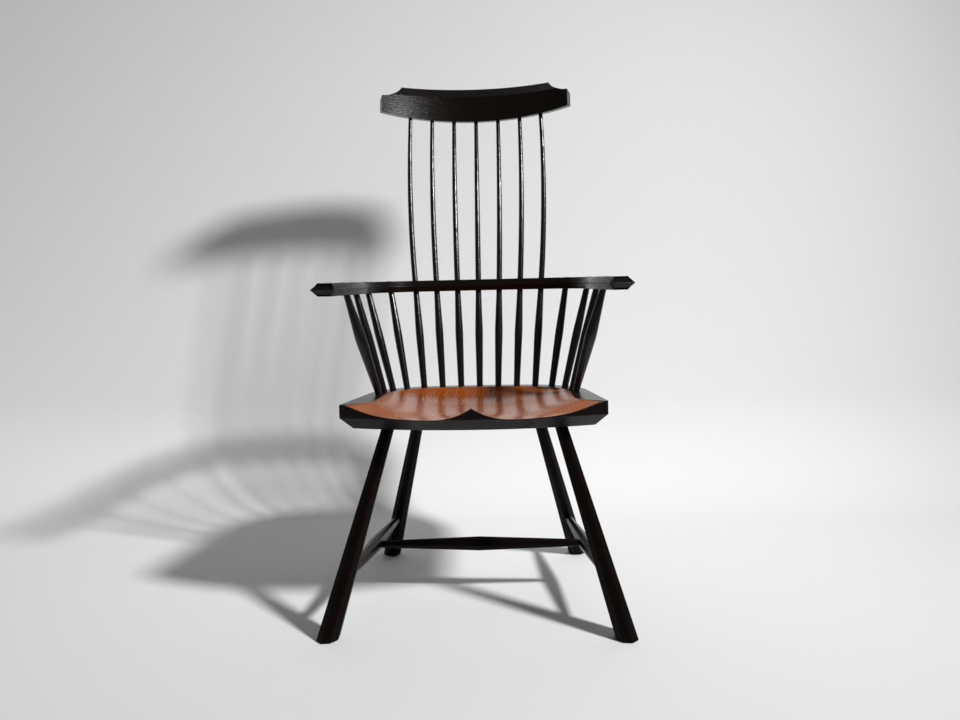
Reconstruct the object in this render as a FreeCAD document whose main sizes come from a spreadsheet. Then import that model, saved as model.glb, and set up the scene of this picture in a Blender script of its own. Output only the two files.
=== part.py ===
"""Comb-back stick armchair, built from its separate pieces in millimetres.

The floor is Z = 0 and the sitter faces -Y, so the sitter's left side is +X.
The chair is the same on both sides of the plane X = 0.
"""
import FreeCAD
import Part
import Sketcher
import math
import os

from FreeCAD import Placement, Rotation, Vector

# Driving dimensions: lengths in millimetres, angles in degrees.
DRIVING = {
    # Seat plank: its top at the front corners, its backward fall and its plan.
    "seat_height": 432,
    "seat_fall": 3,
    "seat_forward": 201,
    "seat_depth": 362,
    "seat_front_bow": 52,
    "seat_back_radius": 900,
    "seat_back_half": 105,
    "seat_corner_radius": 150,
    "seat_side_angle": 85,
    "seat_thickness": 48,
    "seat_bevel": 22,
    # Saddle carved into the plank, open at the front, with a ridge between two lobes.
    "saddle_depth": 27,
    "saddle_half_width": 198,
    "saddle_mouth_flare": 52,
    "saddle_middle": 155,
    "saddle_stick_margin": 13,
    "pommel_height": 23,
    "pommel_half_width": 95,
    "pommel_length": 150,
    # Legs: where they enter the plank, how far each foot stands out from there, and their section.
    "front_leg_spread": 336,
    "front_leg_inset": 37,
    "front_leg_splay": 110.5,
    "front_leg_rake": 110.8,
    "rear_leg_spread": 258,
    "rear_leg_inset": 142,
    "rear_leg_splay": 97,
    "rear_leg_rake": 138.8,
    "leg_foot_width": 40,
    "leg_top_width": 23,
    "leg_tenon_root": 20,
    "leg_tenon_tip": 17,
    "leg_tenon_length": 24,
    # Stretchers between the legs.
    "stretcher_height": 105,
    "stretcher_end_width": 13.5,
    "side_stretcher_belly": 28,
    "medial_stretcher_belly": 29,
    "stretcher_tenon": 12,
    "stretcher_tenon_reach": 8,
    # Sticks: diameters from the seat up, and their spacing at seat, arm and comb.
    "stick_seat_diameter": 14.6,
    "stick_belly_diameter": 18.8,
    "front_stick_belly_diameter": 25,
    "stick_arm_diameter": 13.6,
    "stick_middle_diameter": 12.2,
    "stick_comb_diameter": 9.4,
    "stick_inset": 29,
    "stick_seat_depth": 26,
    "stick_seat_spacing": 43.5,
    "back_stick_arm_spacing": 49.8,
    "side_stick_arm_start": 62,
    "side_stick_arm_spacing": 70,
    "stick_comb_spacing": 53.7,
    # Arm bow: one bent rail with a six-sided section.
    "arm_top_height": 664,
    "arm_thickness": 26,
    "arm_width": 48,
    "arm_outer_bevel": 13,
    "arm_inner_bevel": 7,
    "arm_end_bevel": 12,
    "arm_overhang": 22.5,
    "arm_back_radius": 870,
    "arm_back_half": 150,
    "arm_corner_radius": 138,
    "arm_side_angle": 88,
    "arm_hand_radius": 870,
    "arm_hand_angle": 75,
    "arm_wedge_depth": 20,
    "arm_wedge_top": 3.2,
    "arm_wedge_tip": 0.8,
    "arm_wedge_width": 11.6,
    # Comb: a curved board on top of the back sticks.
    "comb_height": 1041,
    "comb_board_height": 88,
    "comb_under_rise": 8,
    "comb_thickness": 25,
    "comb_radius": 368,
    "comb_end_overhang": 69,
    "comb_end_height": 40,
    "comb_end_angle": 20,
    "comb_shoulder_height": 78,
    "comb_cove_length": 49,
    "comb_bevel_height": 25,
    "comb_bevel_depth": 13,
    "comb_mortise_depth": 44,
    "comb_peg_diameter": 5,
    "comb_peg_length": 20,
    "comb_peg_height": 28,
    # Room between a tenon and its mortise, all round.
    "fit_clearance": 0.12,
}

BACK_STICKS_EACH_SIDE = 3
ARM_STICKS_EACH_SIDE = 4
BELLY_SHARE = 0.56
SADDLE_BOWL_POWER = 3
SADDLE_LOBE_POWER = 4
SADDLE_FLARE_POWER = 10
POMMEL_POWER = 2.9
SADDLE_GRID = (22, 34)
BEND_SECTIONS = 7
COMB_BEVEL_SECTIONS = 9
SIDES = {"left": 1, "right": -1}

# Working lengths that only have to reach past a piece before it is trimmed.
OVERLAP = 6
RUN_PAST = 12
TRIM_SPACE = 2000

UP = Vector(0, 0, 1)
FRONT = Vector(0, -1, 0)

doc = FreeCAD.newDocument("comb_back_armchair")
sheet = doc.addObject("Spreadsheet::Sheet", "Dimensions")
for row, (alias, number) in enumerate(DRIVING.items(), start=1):
    sheet.set(f"A{row}", alias)
    sheet.set(f"B{row}", str(number))
    sheet.setAlias(f"B{row}", alias)
doc.recompute()


def mm(alias):
    """Value of one driving dimension."""
    return float(sheet.get(alias))


def value(expression):
    """Value of an expression over the driving dimensions."""
    return float(sheet.evalExpression(expression))


def dim(alias):
    """Name of a driving dimension inside an expression."""
    return f"Dimensions.{alias}"


# Small makers of document objects.


def aligned(point, z_axis, toward):
    """Placement at a point with local Z on an axis and local X turned toward a direction."""
    z_unit = Vector(z_axis).normalize()
    x_unit = (toward - z_unit * toward.dot(z_unit)).normalize()
    y_unit = z_unit.cross(x_unit)
    return Placement(point, Rotation(x_unit, y_unit, z_unit, "ZXY"))


def shape_object(label, shape, place=None):
    """Object that holds a shape made of curves and surfaces."""
    holder = doc.addObject("Part::Feature", label)
    holder.Shape = shape
    if place is not None:
        holder.Placement = place
    return holder


def compound(label, members):
    group = doc.addObject("Part::Compound", label)
    group.Links = members
    return group


def cut(label, base, tool):
    result = doc.addObject("Part::Cut", label)
    result.Base = base
    result.Tool = tool
    return result


def fuse(label, members):
    result = doc.addObject("Part::MultiFuse", label)
    result.Shapes = members
    return result


def ruled_loft(label, sections):
    solid = doc.addObject("Part::Loft", label)
    solid.Sections = sections
    solid.Solid = True
    solid.Ruled = True
    return solid


def circle(label, place, diameter):
    """Round section whose diameter is an expression."""
    section = doc.addObject("Part::Circle", label)
    section.setExpression("Radius", f"({diameter}) / 2")
    section.Placement = place
    return section


def octagon(label, place, width):
    """Eight-sided section whose width across the flats is an expression."""
    section = doc.addObject("Part::RegularPolygon", label)
    section.Polygon = 8
    section.setExpression("Circumradius", f"({width}) / 2 / cos(22.5 deg)")
    section.Placement = place
    return section


def rod(label, place, diameter, length):
    """Round bar along local Z, with its diameter as an expression."""
    bar = doc.addObject("Part::Cylinder", label)
    bar.setExpression("Radius", f"({diameter}) / 2")
    bar.Height = length
    bar.Placement = place
    return bar


def loose(diameter):
    """Diameter of the mortise for a tenon."""
    return f"{diameter} + 2 * {dim('fit_clearance')}"


def polygon_sketch(sketch, corners):
    """Closed polygon in a sketch, each corner held by two expressions from the origin."""
    points = [Vector(value(across), value(up), 0) for across, up in corners]
    count = len(points)
    for index, start in enumerate(points):
        sketch.addGeometry(Part.LineSegment(start, points[(index + 1) % count]), False)
    for index in range(count):
        sketch.addConstraint(Sketcher.Constraint("Coincident", index, 2, (index + 1) % count, 1))
    for index, (across, up) in enumerate(corners):
        for direction, reach, expression in (
            ("DistanceX", points[index].x, across),
            ("DistanceY", points[index].y, up),
        ):
            number = sketch.addConstraint(Sketcher.Constraint(direction, -1, 1, index, 1, reach))
            sketch.setExpression(f"Constraints[{number}]", expression)
    return sketch


def body_sketch(body, label, role):
    """Empty sketch on one of a body's own origin planes."""
    plane = next(item for item in body.Origin.OriginFeatures if item.Role == role)
    sketch = body.newObject("Sketcher::SketchObject", label)
    sketch.AttachmentSupport = [(plane, "")]
    sketch.MapMode = "FlatFace"
    return sketch


# Plan curves that the seat, the arm and their sticks share.


class Bow:
    """Half of a bow in plan: a back arc, a corner arc, then a straight or a flared run forward.

    Distances run along the bow from its middle at the back, and headings turn from
    sideways (0) to straight forward (a quarter turn).
    """

    def __init__(self, back, back_radius, start_angle, corner_radius, side_angle, flare_radius=None):
        self.back = back
        self.back_radius = back_radius
        self.start_angle = start_angle
        self.corner_radius = corner_radius
        self.side_angle = side_angle
        self.flare_radius = flare_radius
        self.back_length = back_radius * start_angle
        self.corner_length = corner_radius * (side_angle - start_angle)
        self.side_start = self.back_length + self.corner_length

    def at(self, distance):
        """Sideways and depth coordinates and heading at a distance along the bow."""
        first = min(distance, self.back_length) / self.back_radius
        x = self.back_radius * math.sin(first)
        y = self.back - self.back_radius * (1 - math.cos(first))
        if distance <= self.back_length:
            return x, y, first
        second = self.start_angle + (min(distance, self.side_start) - self.back_length) / self.corner_radius
        x += self.corner_radius * (math.sin(second) - math.sin(self.start_angle))
        y -= self.corner_radius * (math.cos(self.start_angle) - math.cos(second))
        if distance <= self.side_start:
            return x, y, second
        run = distance - self.side_start
        if self.flare_radius is None:
            return x + run * math.cos(second), y - run * math.sin(second), second
        third = second - run / self.flare_radius
        x += self.flare_radius * (math.sin(second) - math.sin(third))
        y -= self.flare_radius * (math.cos(third) - math.cos(second))
        return x, y, third

    def arc(self, side, begin, end):
        """Edge of one arc of the bow on one side, between two distances."""
        points = []
        for distance in (begin, (begin + end) / 2, end):
            x, y, _ = self.at(distance)
            points.append(Vector(side * x, y, 0))
        return Part.Arc(*points).toShape()


def seat_bow(inset):
    """Edge of the seat plank, moved inward by an inset, in the seat's own plane."""
    return Bow(
        mm("seat_depth") - inset,
        mm("seat_back_radius") - inset,
        math.asin(mm("seat_back_half") / mm("seat_back_radius")),
        mm("seat_corner_radius") - inset,
        math.radians(mm("seat_side_angle")),
    )


seat_place = Placement(
    Vector(0, -mm("seat_forward"), mm("seat_height")), Rotation(Vector(1, 0, 0), -mm("seat_fall"))
)


def on_seat(x, y, z=0):
    """Point given in the seat's own plane: y back from the front corners, z above the deck."""
    return seat_place.multVec(Vector(x, y, z))


arm_bow_line = Bow(
    on_seat(0, mm("seat_depth")).y + mm("arm_overhang"),
    mm("arm_back_radius"),
    math.asin(mm("arm_back_half") / mm("arm_back_radius")),
    mm("arm_corner_radius"),
    math.radians(mm("arm_side_angle")),
    mm("arm_hand_radius"),
)
arm_half_length = arm_bow_line.side_start + mm("arm_hand_radius") * math.radians(
    mm("arm_side_angle") - mm("arm_hand_angle")
)
arm_middle_height = mm("arm_top_height") - mm("arm_thickness") / 2


# Where each stick runs.


class Stick:
    """Straight line of one stick from the seat to the arm, and the bend above it for a back stick."""

    def __init__(self, label, side, seat_distance, arm_distance, belly="stick_belly_diameter"):
        self.label = label
        self.belly = belly
        x, y, _ = seat_bow(mm("stick_inset")).at(seat_distance)
        self.foot = on_seat(side * x, y)
        x, y, heading = arm_bow_line.at(arm_distance)
        self.arm = Vector(side * x, y, arm_middle_height)
        self.arm_grain = Vector(side * math.cos(heading), -math.sin(heading), 0)
        self.line = (self.arm - self.foot).normalize()
        half_thickness = mm("arm_thickness") / 2 / self.line.z
        self.length = (self.arm - self.foot).Length
        self.below_arm = self.length - half_thickness
        self.above_arm = self.length + half_thickness

    def point(self, distance):
        return self.foot + self.line * distance

    def station(self, distance):
        return aligned(self.point(distance), self.line, FRONT)


class Bend:
    """Circular arc that leaves a point along a direction and reaches a second point."""

    def __init__(self, start, direction, end):
        self.start = start
        self.direction = direction
        chord = end - start
        aside = chord - direction * chord.dot(direction)
        self.turn = 2 * math.asin(min(1, aside.Length / chord.Length))
        self.straight = self.turn < 1e-6
        self.length = chord.Length
        if not self.straight:
            self.normal = aside.normalize()
            self.radius = chord.Length / 2 / math.sin(self.turn / 2)

    def at(self, share):
        """Point and direction at a share of the arc."""
        if self.straight:
            return self.start + self.direction * (self.length * share), self.direction
        angle = self.turn * share
        ahead = self.direction * math.sin(angle) + self.normal * (1 - math.cos(angle))
        heading = self.direction * math.cos(angle) + self.normal * math.sin(angle)
        return self.start + ahead * self.radius, heading


back_sticks = []
for index in range(-BACK_STICKS_EACH_SIDE, BACK_STICKS_EACH_SIDE + 1):
    number = BACK_STICKS_EACH_SIDE + 1 - index
    back_sticks.append(
        Stick(
            f"back_stick_{number}",
            math.copysign(1, index),
            abs(index) * mm("stick_seat_spacing"),
            abs(index) * mm("back_stick_arm_spacing"),
        )
    )
middle_stick = back_sticks[BACK_STICKS_EACH_SIDE]

arm_sticks = []
first_arm_stick = BACK_STICKS_EACH_SIDE * mm("back_stick_arm_spacing") + mm("side_stick_arm_start")
for side_name, side in SIDES.items():
    for number in range(1, ARM_STICKS_EACH_SIDE + 1):
        at_hand = number == ARM_STICKS_EACH_SIDE
        arm_sticks.append(
            Stick(
                f"arm_stick_{side_name}_{number}",
                side,
                (BACK_STICKS_EACH_SIDE + number) * mm("stick_seat_spacing"),
                first_arm_stick + (number - 1) * mm("side_stick_arm_spacing"),
                "front_stick_belly_diameter" if at_hand else "stick_belly_diameter",
            )
        )


# Comb: it leans as the middle stick does.

comb_lean = math.degrees(math.atan2(middle_stick.line.y, middle_stick.line.z))
comb_foot = middle_stick.point((mm("comb_height") - middle_stick.foot.z) / middle_stick.line.z)
comb_place = Placement(comb_foot, Rotation(Vector(1, 0, 0), -comb_lean))
comb_stick_angle = mm("stick_comb_spacing") / mm("comb_radius")
comb_half_length = (
    mm("comb_radius") * math.sin(BACK_STICKS_EACH_SIDE * comb_stick_angle) + mm("comb_end_overhang")
)
comb_shoulder_half = comb_half_length - mm("comb_cove_length")
comb_arch_fall = mm("comb_board_height") - mm("comb_shoulder_height")
comb_arch_radius = (comb_shoulder_half**2 + comb_arch_fall**2) / 2 / comb_arch_fall


def comb_top(x):
    """Height of the comb's arched upper edge above its lower edge."""
    return mm("comb_board_height") - comb_arch_radius + math.sqrt(comb_arch_radius**2 - x**2)


def comb_local(angle, depth, height):
    """Point in the comb's own frame: an angle along its curve, a depth behind its middle surface."""
    reach = mm("comb_radius") + depth
    return Vector(reach * math.sin(angle), reach * math.cos(angle) - mm("comb_radius"), height)


def back_stick_bend(index):
    """Bend of one back stick from just above the arm to the comb's lower edge."""
    stick = back_sticks[index + BACK_STICKS_EACH_SIDE]
    start = stick.point(stick.above_arm + OVERLAP)
    return Bend(start, stick.line, comb_place.multVec(comb_local(index * comb_stick_angle, 0, 0)))


# Seat plank.


def make_seat_blank():
    """Plank with its plan outline and its lower bevel, before the saddle and mortises."""
    edge = seat_bow(0)
    side_x, side_y, heading = edge.at(edge.side_start)
    back_x, back_y, _ = edge.at(edge.back_length)
    corner_x = side_x + side_y / math.tan(heading)
    bow = mm("seat_front_bow")
    front_radius = (corner_x**2 + bow**2) / 2 / bow
    front_sweep = math.asin(corner_x / front_radius)

    def arc(center_x, center_y, radius, begin, end):
        ring = Part.Circle(Vector(center_x, center_y, 0), UP, radius)
        return Part.ArcOfCircle(ring, begin, end)

    quarter = math.pi / 2
    corner_r = edge.corner_radius
    center_x = side_x - corner_r * math.sin(heading)
    center_y = side_y - corner_r * math.cos(heading)
    start = edge.start_angle
    body = doc.addObject("PartDesign::Body", "seat_blank")
    sketch = body_sketch(body, "seat_outline", "XY_Plane")
    sketch.addGeometry(Part.LineSegment(Vector(corner_x, 0, 0), Vector(side_x, side_y, 0)), False)
    sketch.addGeometry(arc(center_x, center_y, corner_r, quarter - heading, quarter - start), False)
    sketch.addGeometry(
        arc(0, edge.back - edge.back_radius, edge.back_radius, quarter - start, quarter + start), False
    )
    sketch.addGeometry(arc(-center_x, center_y, corner_r, quarter + start, quarter + heading), False)
    sketch.addGeometry(Part.LineSegment(Vector(-side_x, side_y, 0), Vector(-corner_x, 0, 0)), False)
    sketch.addGeometry(
        arc(0, front_radius - bow, front_radius, 3 * quarter - front_sweep, 3 * quarter + front_sweep), False
    )
    sketch.addGeometry(Part.Point(Vector(0, -bow, 0)), True)
    right_line, right_corner, back_arc, left_corner, left_line, front_arc, front_point = range(7)
    for first, second in (
        (right_line, right_corner),
        (right_corner, back_arc),
        (back_arc, left_corner),
        (left_corner, left_line),
    ):
        sketch.addConstraint(Sketcher.Constraint("Tangent", first, 2, second, 1))
    sketch.addConstraint(Sketcher.Constraint("Coincident", left_line, 2, front_arc, 1))
    sketch.addConstraint(Sketcher.Constraint("Coincident", front_arc, 2, right_line, 1))
    sketch.addConstraint(Sketcher.Constraint("PointOnObject", right_line, 1, -1))
    sketch.addConstraint(Sketcher.Constraint("Symmetric", right_line, 1, left_line, 2, -2))
    sketch.addConstraint(Sketcher.Constraint("Symmetric", right_corner, 2, left_corner, 1, -2))
    sketch.addConstraint(Sketcher.Constraint("Equal", right_corner, left_corner))
    sketch.addConstraint(Sketcher.Constraint("PointOnObject", front_point, 1, -2))
    sketch.addConstraint(Sketcher.Constraint("PointOnObject", front_point, 1, front_arc))
    for constraint, expression in (
        (Sketcher.Constraint("Radius", right_corner, corner_r), dim("seat_corner_radius")),
        (Sketcher.Constraint("Radius", back_arc, edge.back_radius), dim("seat_back_radius")),
        (Sketcher.Constraint("DistanceX", -1, 1, back_arc, 1, back_x), dim("seat_back_half")),
        (
            Sketcher.Constraint("DistanceY", -1, 1, back_arc, 3, edge.back - edge.back_radius),
            f"{dim('seat_depth')} - {dim('seat_back_radius')}",
        ),
        (
            Sketcher.Constraint("Angle", right_line, math.pi - heading),
            f"180 deg - {dim('seat_side_angle')} * 1 deg",
        ),
        (Sketcher.Constraint("DistanceY", front_point, 1, -1, 1, bow), dim("seat_front_bow")),
    ):
        number = sketch.addConstraint(constraint)
        sketch.setExpression(f"Constraints[{number}]", expression)
    plank = body.newObject("PartDesign::Pad", "seat_plank")
    plank.Profile = sketch
    plank.Reversed = True
    plank.setExpression("Length", dim("seat_thickness"))
    doc.recompute()
    lowest = plank.Shape.BoundBox.ZMin
    edges = [
        f"Edge{index}"
        for index, item in enumerate(plank.Shape.Edges, start=1)
        if abs(item.BoundBox.ZMax - lowest) < 1e-6
    ]
    bevel = body.newObject("PartDesign::Chamfer", "seat_lower_bevel")
    bevel.Base = (plank, edges)
    bevel.setExpression("Size", dim("seat_bevel"))
    body.Placement = seat_place
    return body, corner_x


def saddle_depth(x, y, corner_x):
    """Depth of the saddle below the deck, negative outside it, on the side of positive x."""
    middle = mm("saddle_middle")
    back = mm("seat_depth") - mm("stick_inset") - mm("saddle_stick_margin")
    flare = mm("saddle_mouth_flare") * (max(0, middle - y) / middle) ** SADDLE_FLARE_POWER
    side_share = (abs(x) / (mm("saddle_half_width") + flare)) ** SADDLE_BOWL_POWER
    back_share = (max(0, y - middle) / (back - middle)) ** SADDLE_BOWL_POWER
    lobe = 1 - (abs(x) / (corner_x + OVERLAP)) ** SADDLE_LOBE_POWER
    bowl = mm("saddle_depth") * lobe * (1 - side_share - back_share)
    fade = max(0, 1 - (y + mm("seat_front_bow")) / mm("pommel_length")) ** 2
    ridge = max(0, 1 - x / mm("pommel_half_width")) ** POMMEL_POWER
    return bowl - mm("pommel_height") * ridge * fade


def make_saddle_tools(corner_x):
    """Two solids above the carved surface, which meet at the ridge between the lobes."""
    across_count, deep_count = SADDLE_GRID
    end_x = corner_x + OVERLAP / 2
    begin_y = -mm("seat_front_bow") - OVERLAP
    end_y = mm("seat_depth") + OVERLAP
    rows = []
    for deep in range(deep_count):
        y = begin_y + (end_y - begin_y) * deep / (deep_count - 1)
        row = []
        for across in range(across_count):
            x = end_x * across / (across_count - 1)
            row.append(Vector(x, y, -saddle_depth(x, y, corner_x)))
        rows.append(row)
    surface = Part.BSplineSurface()
    surface.interpolate(rows)
    height = 4 * mm("seat_thickness")
    half = surface.toShape().extrude(UP * height)
    other = half.mirror(Vector(0, 0, 0), Vector(1, 0, 0))
    return [
        shape_object("saddle_space_left", half, seat_place),
        shape_object("saddle_space_right", other, seat_place),
    ]


# Legs.


class Leg:
    """Axis of one leg from the floor to the plank's underside."""

    def __init__(self, end, side_name):
        side = SIDES[side_name]
        self.label = f"leg_{end}_{side_name}"
        inset = mm(f"{end}_leg_inset")
        reach = inset if end == "front" else mm("seat_depth") - inset
        rake = mm(f"{end}_leg_rake") * (-1 if end == "front" else 1)
        self.top = on_seat(side * mm(f"{end}_leg_spread") / 2, reach, -mm("seat_thickness"))
        self.foot = Vector(self.top.x + side * mm(f"{end}_leg_splay"), self.top.y + rake, 0)
        self.axis = (self.top - self.foot).normalize()

    def at_height(self, height):
        return self.foot + self.axis * (height / self.axis.z)

    def section(self, name, point, width):
        """Eight-sided section of the leg, turned so that a flat faces the front."""
        half_flat = Placement(Vector(), Rotation(UP, 22.5))
        return octagon(f"{self.label}_{name}", aligned(point, self.axis, FRONT).multiply(half_flat), width)

    def tenon(self, label, room):
        """Tapered tenon into the plank, or its mortise when it has room all round."""
        overlap_share = OVERLAP / mm("leg_tenon_length")
        cone = doc.addObject("Part::Cone", label)
        root = dim("leg_tenon_root")
        tip = dim("leg_tenon_tip")
        cone.setExpression("Radius1", f"({root} + ({root} - {tip}) * {overlap_share}) / 2 + {room}")
        cone.setExpression("Radius2", f"{tip} / 2 + {room}")
        cone.setExpression("Height", f"{dim('leg_tenon_length')} + {OVERLAP}")
        cone.Placement = aligned(self.top - self.axis * OVERLAP, self.axis, FRONT)
        return cone


def make_leg_shaft(leg, seat_blank, below_floor):
    """Tapered eight-sided shaft, scribed to the plank above and to the floor below."""
    low = leg.section("low", leg.foot - leg.axis * RUN_PAST, dim("leg_foot_width"))
    high = leg.section("high", leg.top + leg.axis * RUN_PAST, dim("leg_top_width"))
    blank = ruled_loft(f"{leg.label}_blank", [low, high])
    return cut(f"{leg.label}_shaft", cut(f"{leg.label}_level", blank, below_floor), seat_blank)


# Stretchers.


def make_stretcher(label, start, end, belly, neighbours):
    """Eight-sided bar, thick in the middle, scribed to two neighbours, with a tenon at each end.

    Returns the bar with its tenons and the bar alone, and the mortise for each end.
    """
    axis = (end - start).normalize()
    middle = (start + end) / 2
    sections = [
        octagon(f"{label}_start", aligned(start, axis, UP), dim("stretcher_end_width")),
        octagon(f"{label}_belly", aligned(middle, axis, UP), belly),
        octagon(f"{label}_end", aligned(end, axis, UP), dim("stretcher_end_width")),
    ]
    bar = ruled_loft(f"{label}_blank", sections)
    for number, neighbour in enumerate(neighbours, start=1):
        bar = cut(f"{label}_scribed_{number}", bar, neighbour)
    length = mm("stretcher_tenon_reach") + mm("leg_foot_width")
    tenons = []
    mortises = []
    for name, point, inward in (("first", start, axis), ("second", end, axis * -1)):
        seat_point = point - inward * mm("stretcher_tenon_reach")
        place = aligned(seat_point, inward, UP)
        tenons.append(rod(f"{label}_tenon_{name}", place, dim("stretcher_tenon"), length))
        deeper = aligned(seat_point - inward * mm("fit_clearance"), inward, UP)
        mortises.append(rod(f"{label}_mortise_{name}", deeper, loose(dim("stretcher_tenon")), length))
    return fuse(f"{label}_whole", [bar] + tenons), bar, mortises


# Sticks.


def lower_sections(stick, end_distance):
    """Sections of a stick from its tenon in the seat, past its belly, to just past the arm."""
    belly_distance = BELLY_SHARE * stick.below_arm
    stations = (
        (-mm("stick_seat_depth"), dim("stick_seat_diameter")),
        (OVERLAP, dim("stick_seat_diameter")),
        (belly_distance, dim(stick.belly)),
        (stick.below_arm - OVERLAP, dim("stick_arm_diameter")),
        (end_distance, dim("stick_arm_diameter")),
    )
    return [
        circle(f"{stick.label}_section_{number}", stick.station(distance), diameter)
        for number, (distance, diameter) in enumerate(stations, start=1)
    ]


def upper_diameter(share):
    """Diameter of a back stick at a share of its way from the arm to the comb, as an expression."""
    if share <= 0.5:
        first, second, part = "stick_arm_diameter", "stick_middle_diameter", 2 * share
    else:
        first, second, part = "stick_middle_diameter", "stick_comb_diameter", 2 * share - 1
    return f"{dim(first)} * {1 - part} + {dim(second)} * {part}"


def make_back_stick(stick, bend):
    """Long stick, straight through the arm and then bent to the comb."""
    sections = lower_sections(stick, stick.above_arm + OVERLAP)
    for number in range(1, BEND_SECTIONS + 1):
        share = number / BEND_SECTIONS
        point, heading = bend.at(share)
        place = aligned(point, heading, FRONT)
        sections.append(circle(f"{stick.label}_bend_{number}", place, upper_diameter(share)))
    point, heading = bend.at(1)
    tip = aligned(point + heading * mm("comb_mortise_depth"), heading, FRONT)
    sections.append(circle(f"{stick.label}_tip", tip, dim("stick_comb_diameter")))
    return ruled_loft(f"{stick.label}_blank", sections)


def make_arm_wedge(stick, label, room):
    """Wedge across the grain of the arm, in the top of a short stick, or its kerf with room."""
    wedge = doc.addObject("Part::Wedge", label)
    half_top = f"{dim('arm_wedge_top')} / 2 + {room}"
    half_tip = f"{dim('arm_wedge_tip')} / 2 + {room}"
    half_width = f"{dim('arm_wedge_width')} / 2 + {room}"
    for name, expression in (
        ("Xmin", f"-({half_top})"),
        ("Xmax", half_top),
        ("X2min", f"-({half_tip})"),
        ("X2max", half_tip),
        ("Zmin", f"-({half_width})"),
        ("Zmax", half_width),
        ("Z2min", f"-({half_width})"),
        ("Z2max", half_width),
        ("Ymin", "0"),
        ("Ymax", f"{dim('arm_wedge_depth')} + {RUN_PAST} + {room}"),
    ):
        wedge.setExpression(name, expression)
    down = stick.line * -1
    grain = (stick.arm_grain - down * stick.arm_grain.dot(down)).normalize()
    turn = Rotation(grain, down, grain.cross(down), "YXZ")
    wedge.Placement = Placement(stick.point(stick.above_arm + RUN_PAST), turn)
    return wedge


# Arm bow.


def make_arm_blank():
    """Six-sided section carried along the bow from hand to hand, with bevelled hand ends."""
    stations = [arm_half_length, arm_bow_line.side_start, arm_bow_line.back_length]
    left = [arm_bow_line.arc(1, stations[i], stations[i + 1]) for i in range(2)]
    right = [arm_bow_line.arc(-1, stations[i + 1], stations[i]) for i in (1, 0)]
    back = []
    for side in (1, -1):
        begin, end = (stations[2], 0) if side == 1 else (0, stations[2])
        back.append(arm_bow_line.arc(side, begin, end))
    path = shape_object("arm_path", Part.Wire(left + back + right))
    path.Placement = Placement(Vector(0, 0, arm_middle_height), Rotation())
    half_width = f"{dim('arm_width')} / 2"
    half_height = f"{dim('arm_thickness')} / 2"
    outer_flat = f"{half_width} - {dim('arm_outer_bevel')}"
    inner_flat = f"{dim('arm_inner_bevel')} - {half_width}"
    profile = polygon_sketch(
        doc.addObject("Sketcher::SketchObject", "arm_section"),
        [
            (half_width, "0"),
            (outer_flat, half_height),
            (inner_flat, half_height),
            (f"-{half_width}", "0"),
            (inner_flat, f"-{half_height}"),
            (outer_flat, f"-{half_height}"),
        ],
    )
    x, y, heading = arm_bow_line.at(arm_half_length)
    forward = Vector(math.cos(heading), -math.sin(heading), 0)
    hand = Vector(x, y, arm_middle_height)
    outward = Vector(math.sin(heading), math.cos(heading), 0)
    profile.Placement = aligned(hand, forward, outward)
    rail = doc.addObject("Part::Sweep", "arm_rail")
    rail.Sections = [profile]
    rail.Spine = (path, [f"Edge{number}" for number in range(1, len(path.Shape.Edges) + 1)])
    rail.Solid = True
    rail.Frenet = False
    bevels = []
    rise = mm("arm_thickness")
    back_off = 2 * mm("arm_end_bevel")
    for side in (1, -1):
        ahead = Vector(side * forward.x, forward.y, 0)
        across = Vector(side * outward.x, outward.y, 0) * mm("arm_width")
        end = Vector(side * hand.x, hand.y, hand.z)
        for up in (1, -1):
            corners = [
                end,
                end - ahead * back_off + UP * (up * rise),
                end + ahead * rise + UP * (up * rise),
                end + ahead * rise,
                end,
            ]
            face = Part.Face(Part.makePolygon([corner - across for corner in corners]))
            bevels.append(face.extrude(across * 2))
    return rail, shape_object("hand_bevels", Part.makeCompound(bevels))


# Comb.


def make_comb_bevel():
    """Space in front of the sloping facet that follows the comb's arched upper front edge."""
    front = -mm("comb_thickness") / 2
    slope = mm("comb_bevel_height") / mm("comb_bevel_depth")
    reach = mm("comb_thickness")
    half_angle = math.asin((comb_half_length + OVERLAP) / (mm("comb_radius") - mm("comb_thickness")))
    sections = []
    for number in range(COMB_BEVEL_SECTIONS):
        angle = half_angle * (2 * number / (COMB_BEVEL_SECTIONS - 1) - 1)
        start = comb_top(mm("comb_radius") * math.sin(angle)) - mm("comb_bevel_height")
        corners = [
            comb_local(angle, front - reach, start - slope * reach),
            comb_local(angle, front + reach, start + slope * reach),
            comb_local(angle, front - reach, start + slope * reach),
        ]
        sections.append(Part.makePolygon(corners + corners[:1]))
    return shape_object("comb_bevel_space", Part.makeLoft(sections, True, False), comb_place)


def make_comb_end_space(side_name):
    """Space beyond one end of the comb, which is turned a little to the front."""
    side = SIDES[side_name]
    turn = math.radians(mm("comb_end_angle"))
    back_radius = mm("comb_radius") + mm("comb_thickness") / 2
    back = math.sqrt(back_radius**2 - comb_half_length**2) - mm("comb_radius")
    edge = Vector(side * comb_half_length, back, -OVERLAP)
    along = Vector(side * math.sin(turn), math.cos(turn), 0) * (3 * mm("comb_thickness"))
    outward = Vector(side * math.cos(turn), -math.sin(turn), 0) * mm("comb_end_overhang")
    corners = [edge - along, edge + along, edge + along + outward, edge - along + outward]
    face = Part.Face(Part.makePolygon(corners + corners[:1]))
    space = face.extrude(UP * (mm("comb_board_height") + 2 * OVERLAP))
    return shape_object(f"comb_end_space_{side_name}", space, comb_place)


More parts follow.
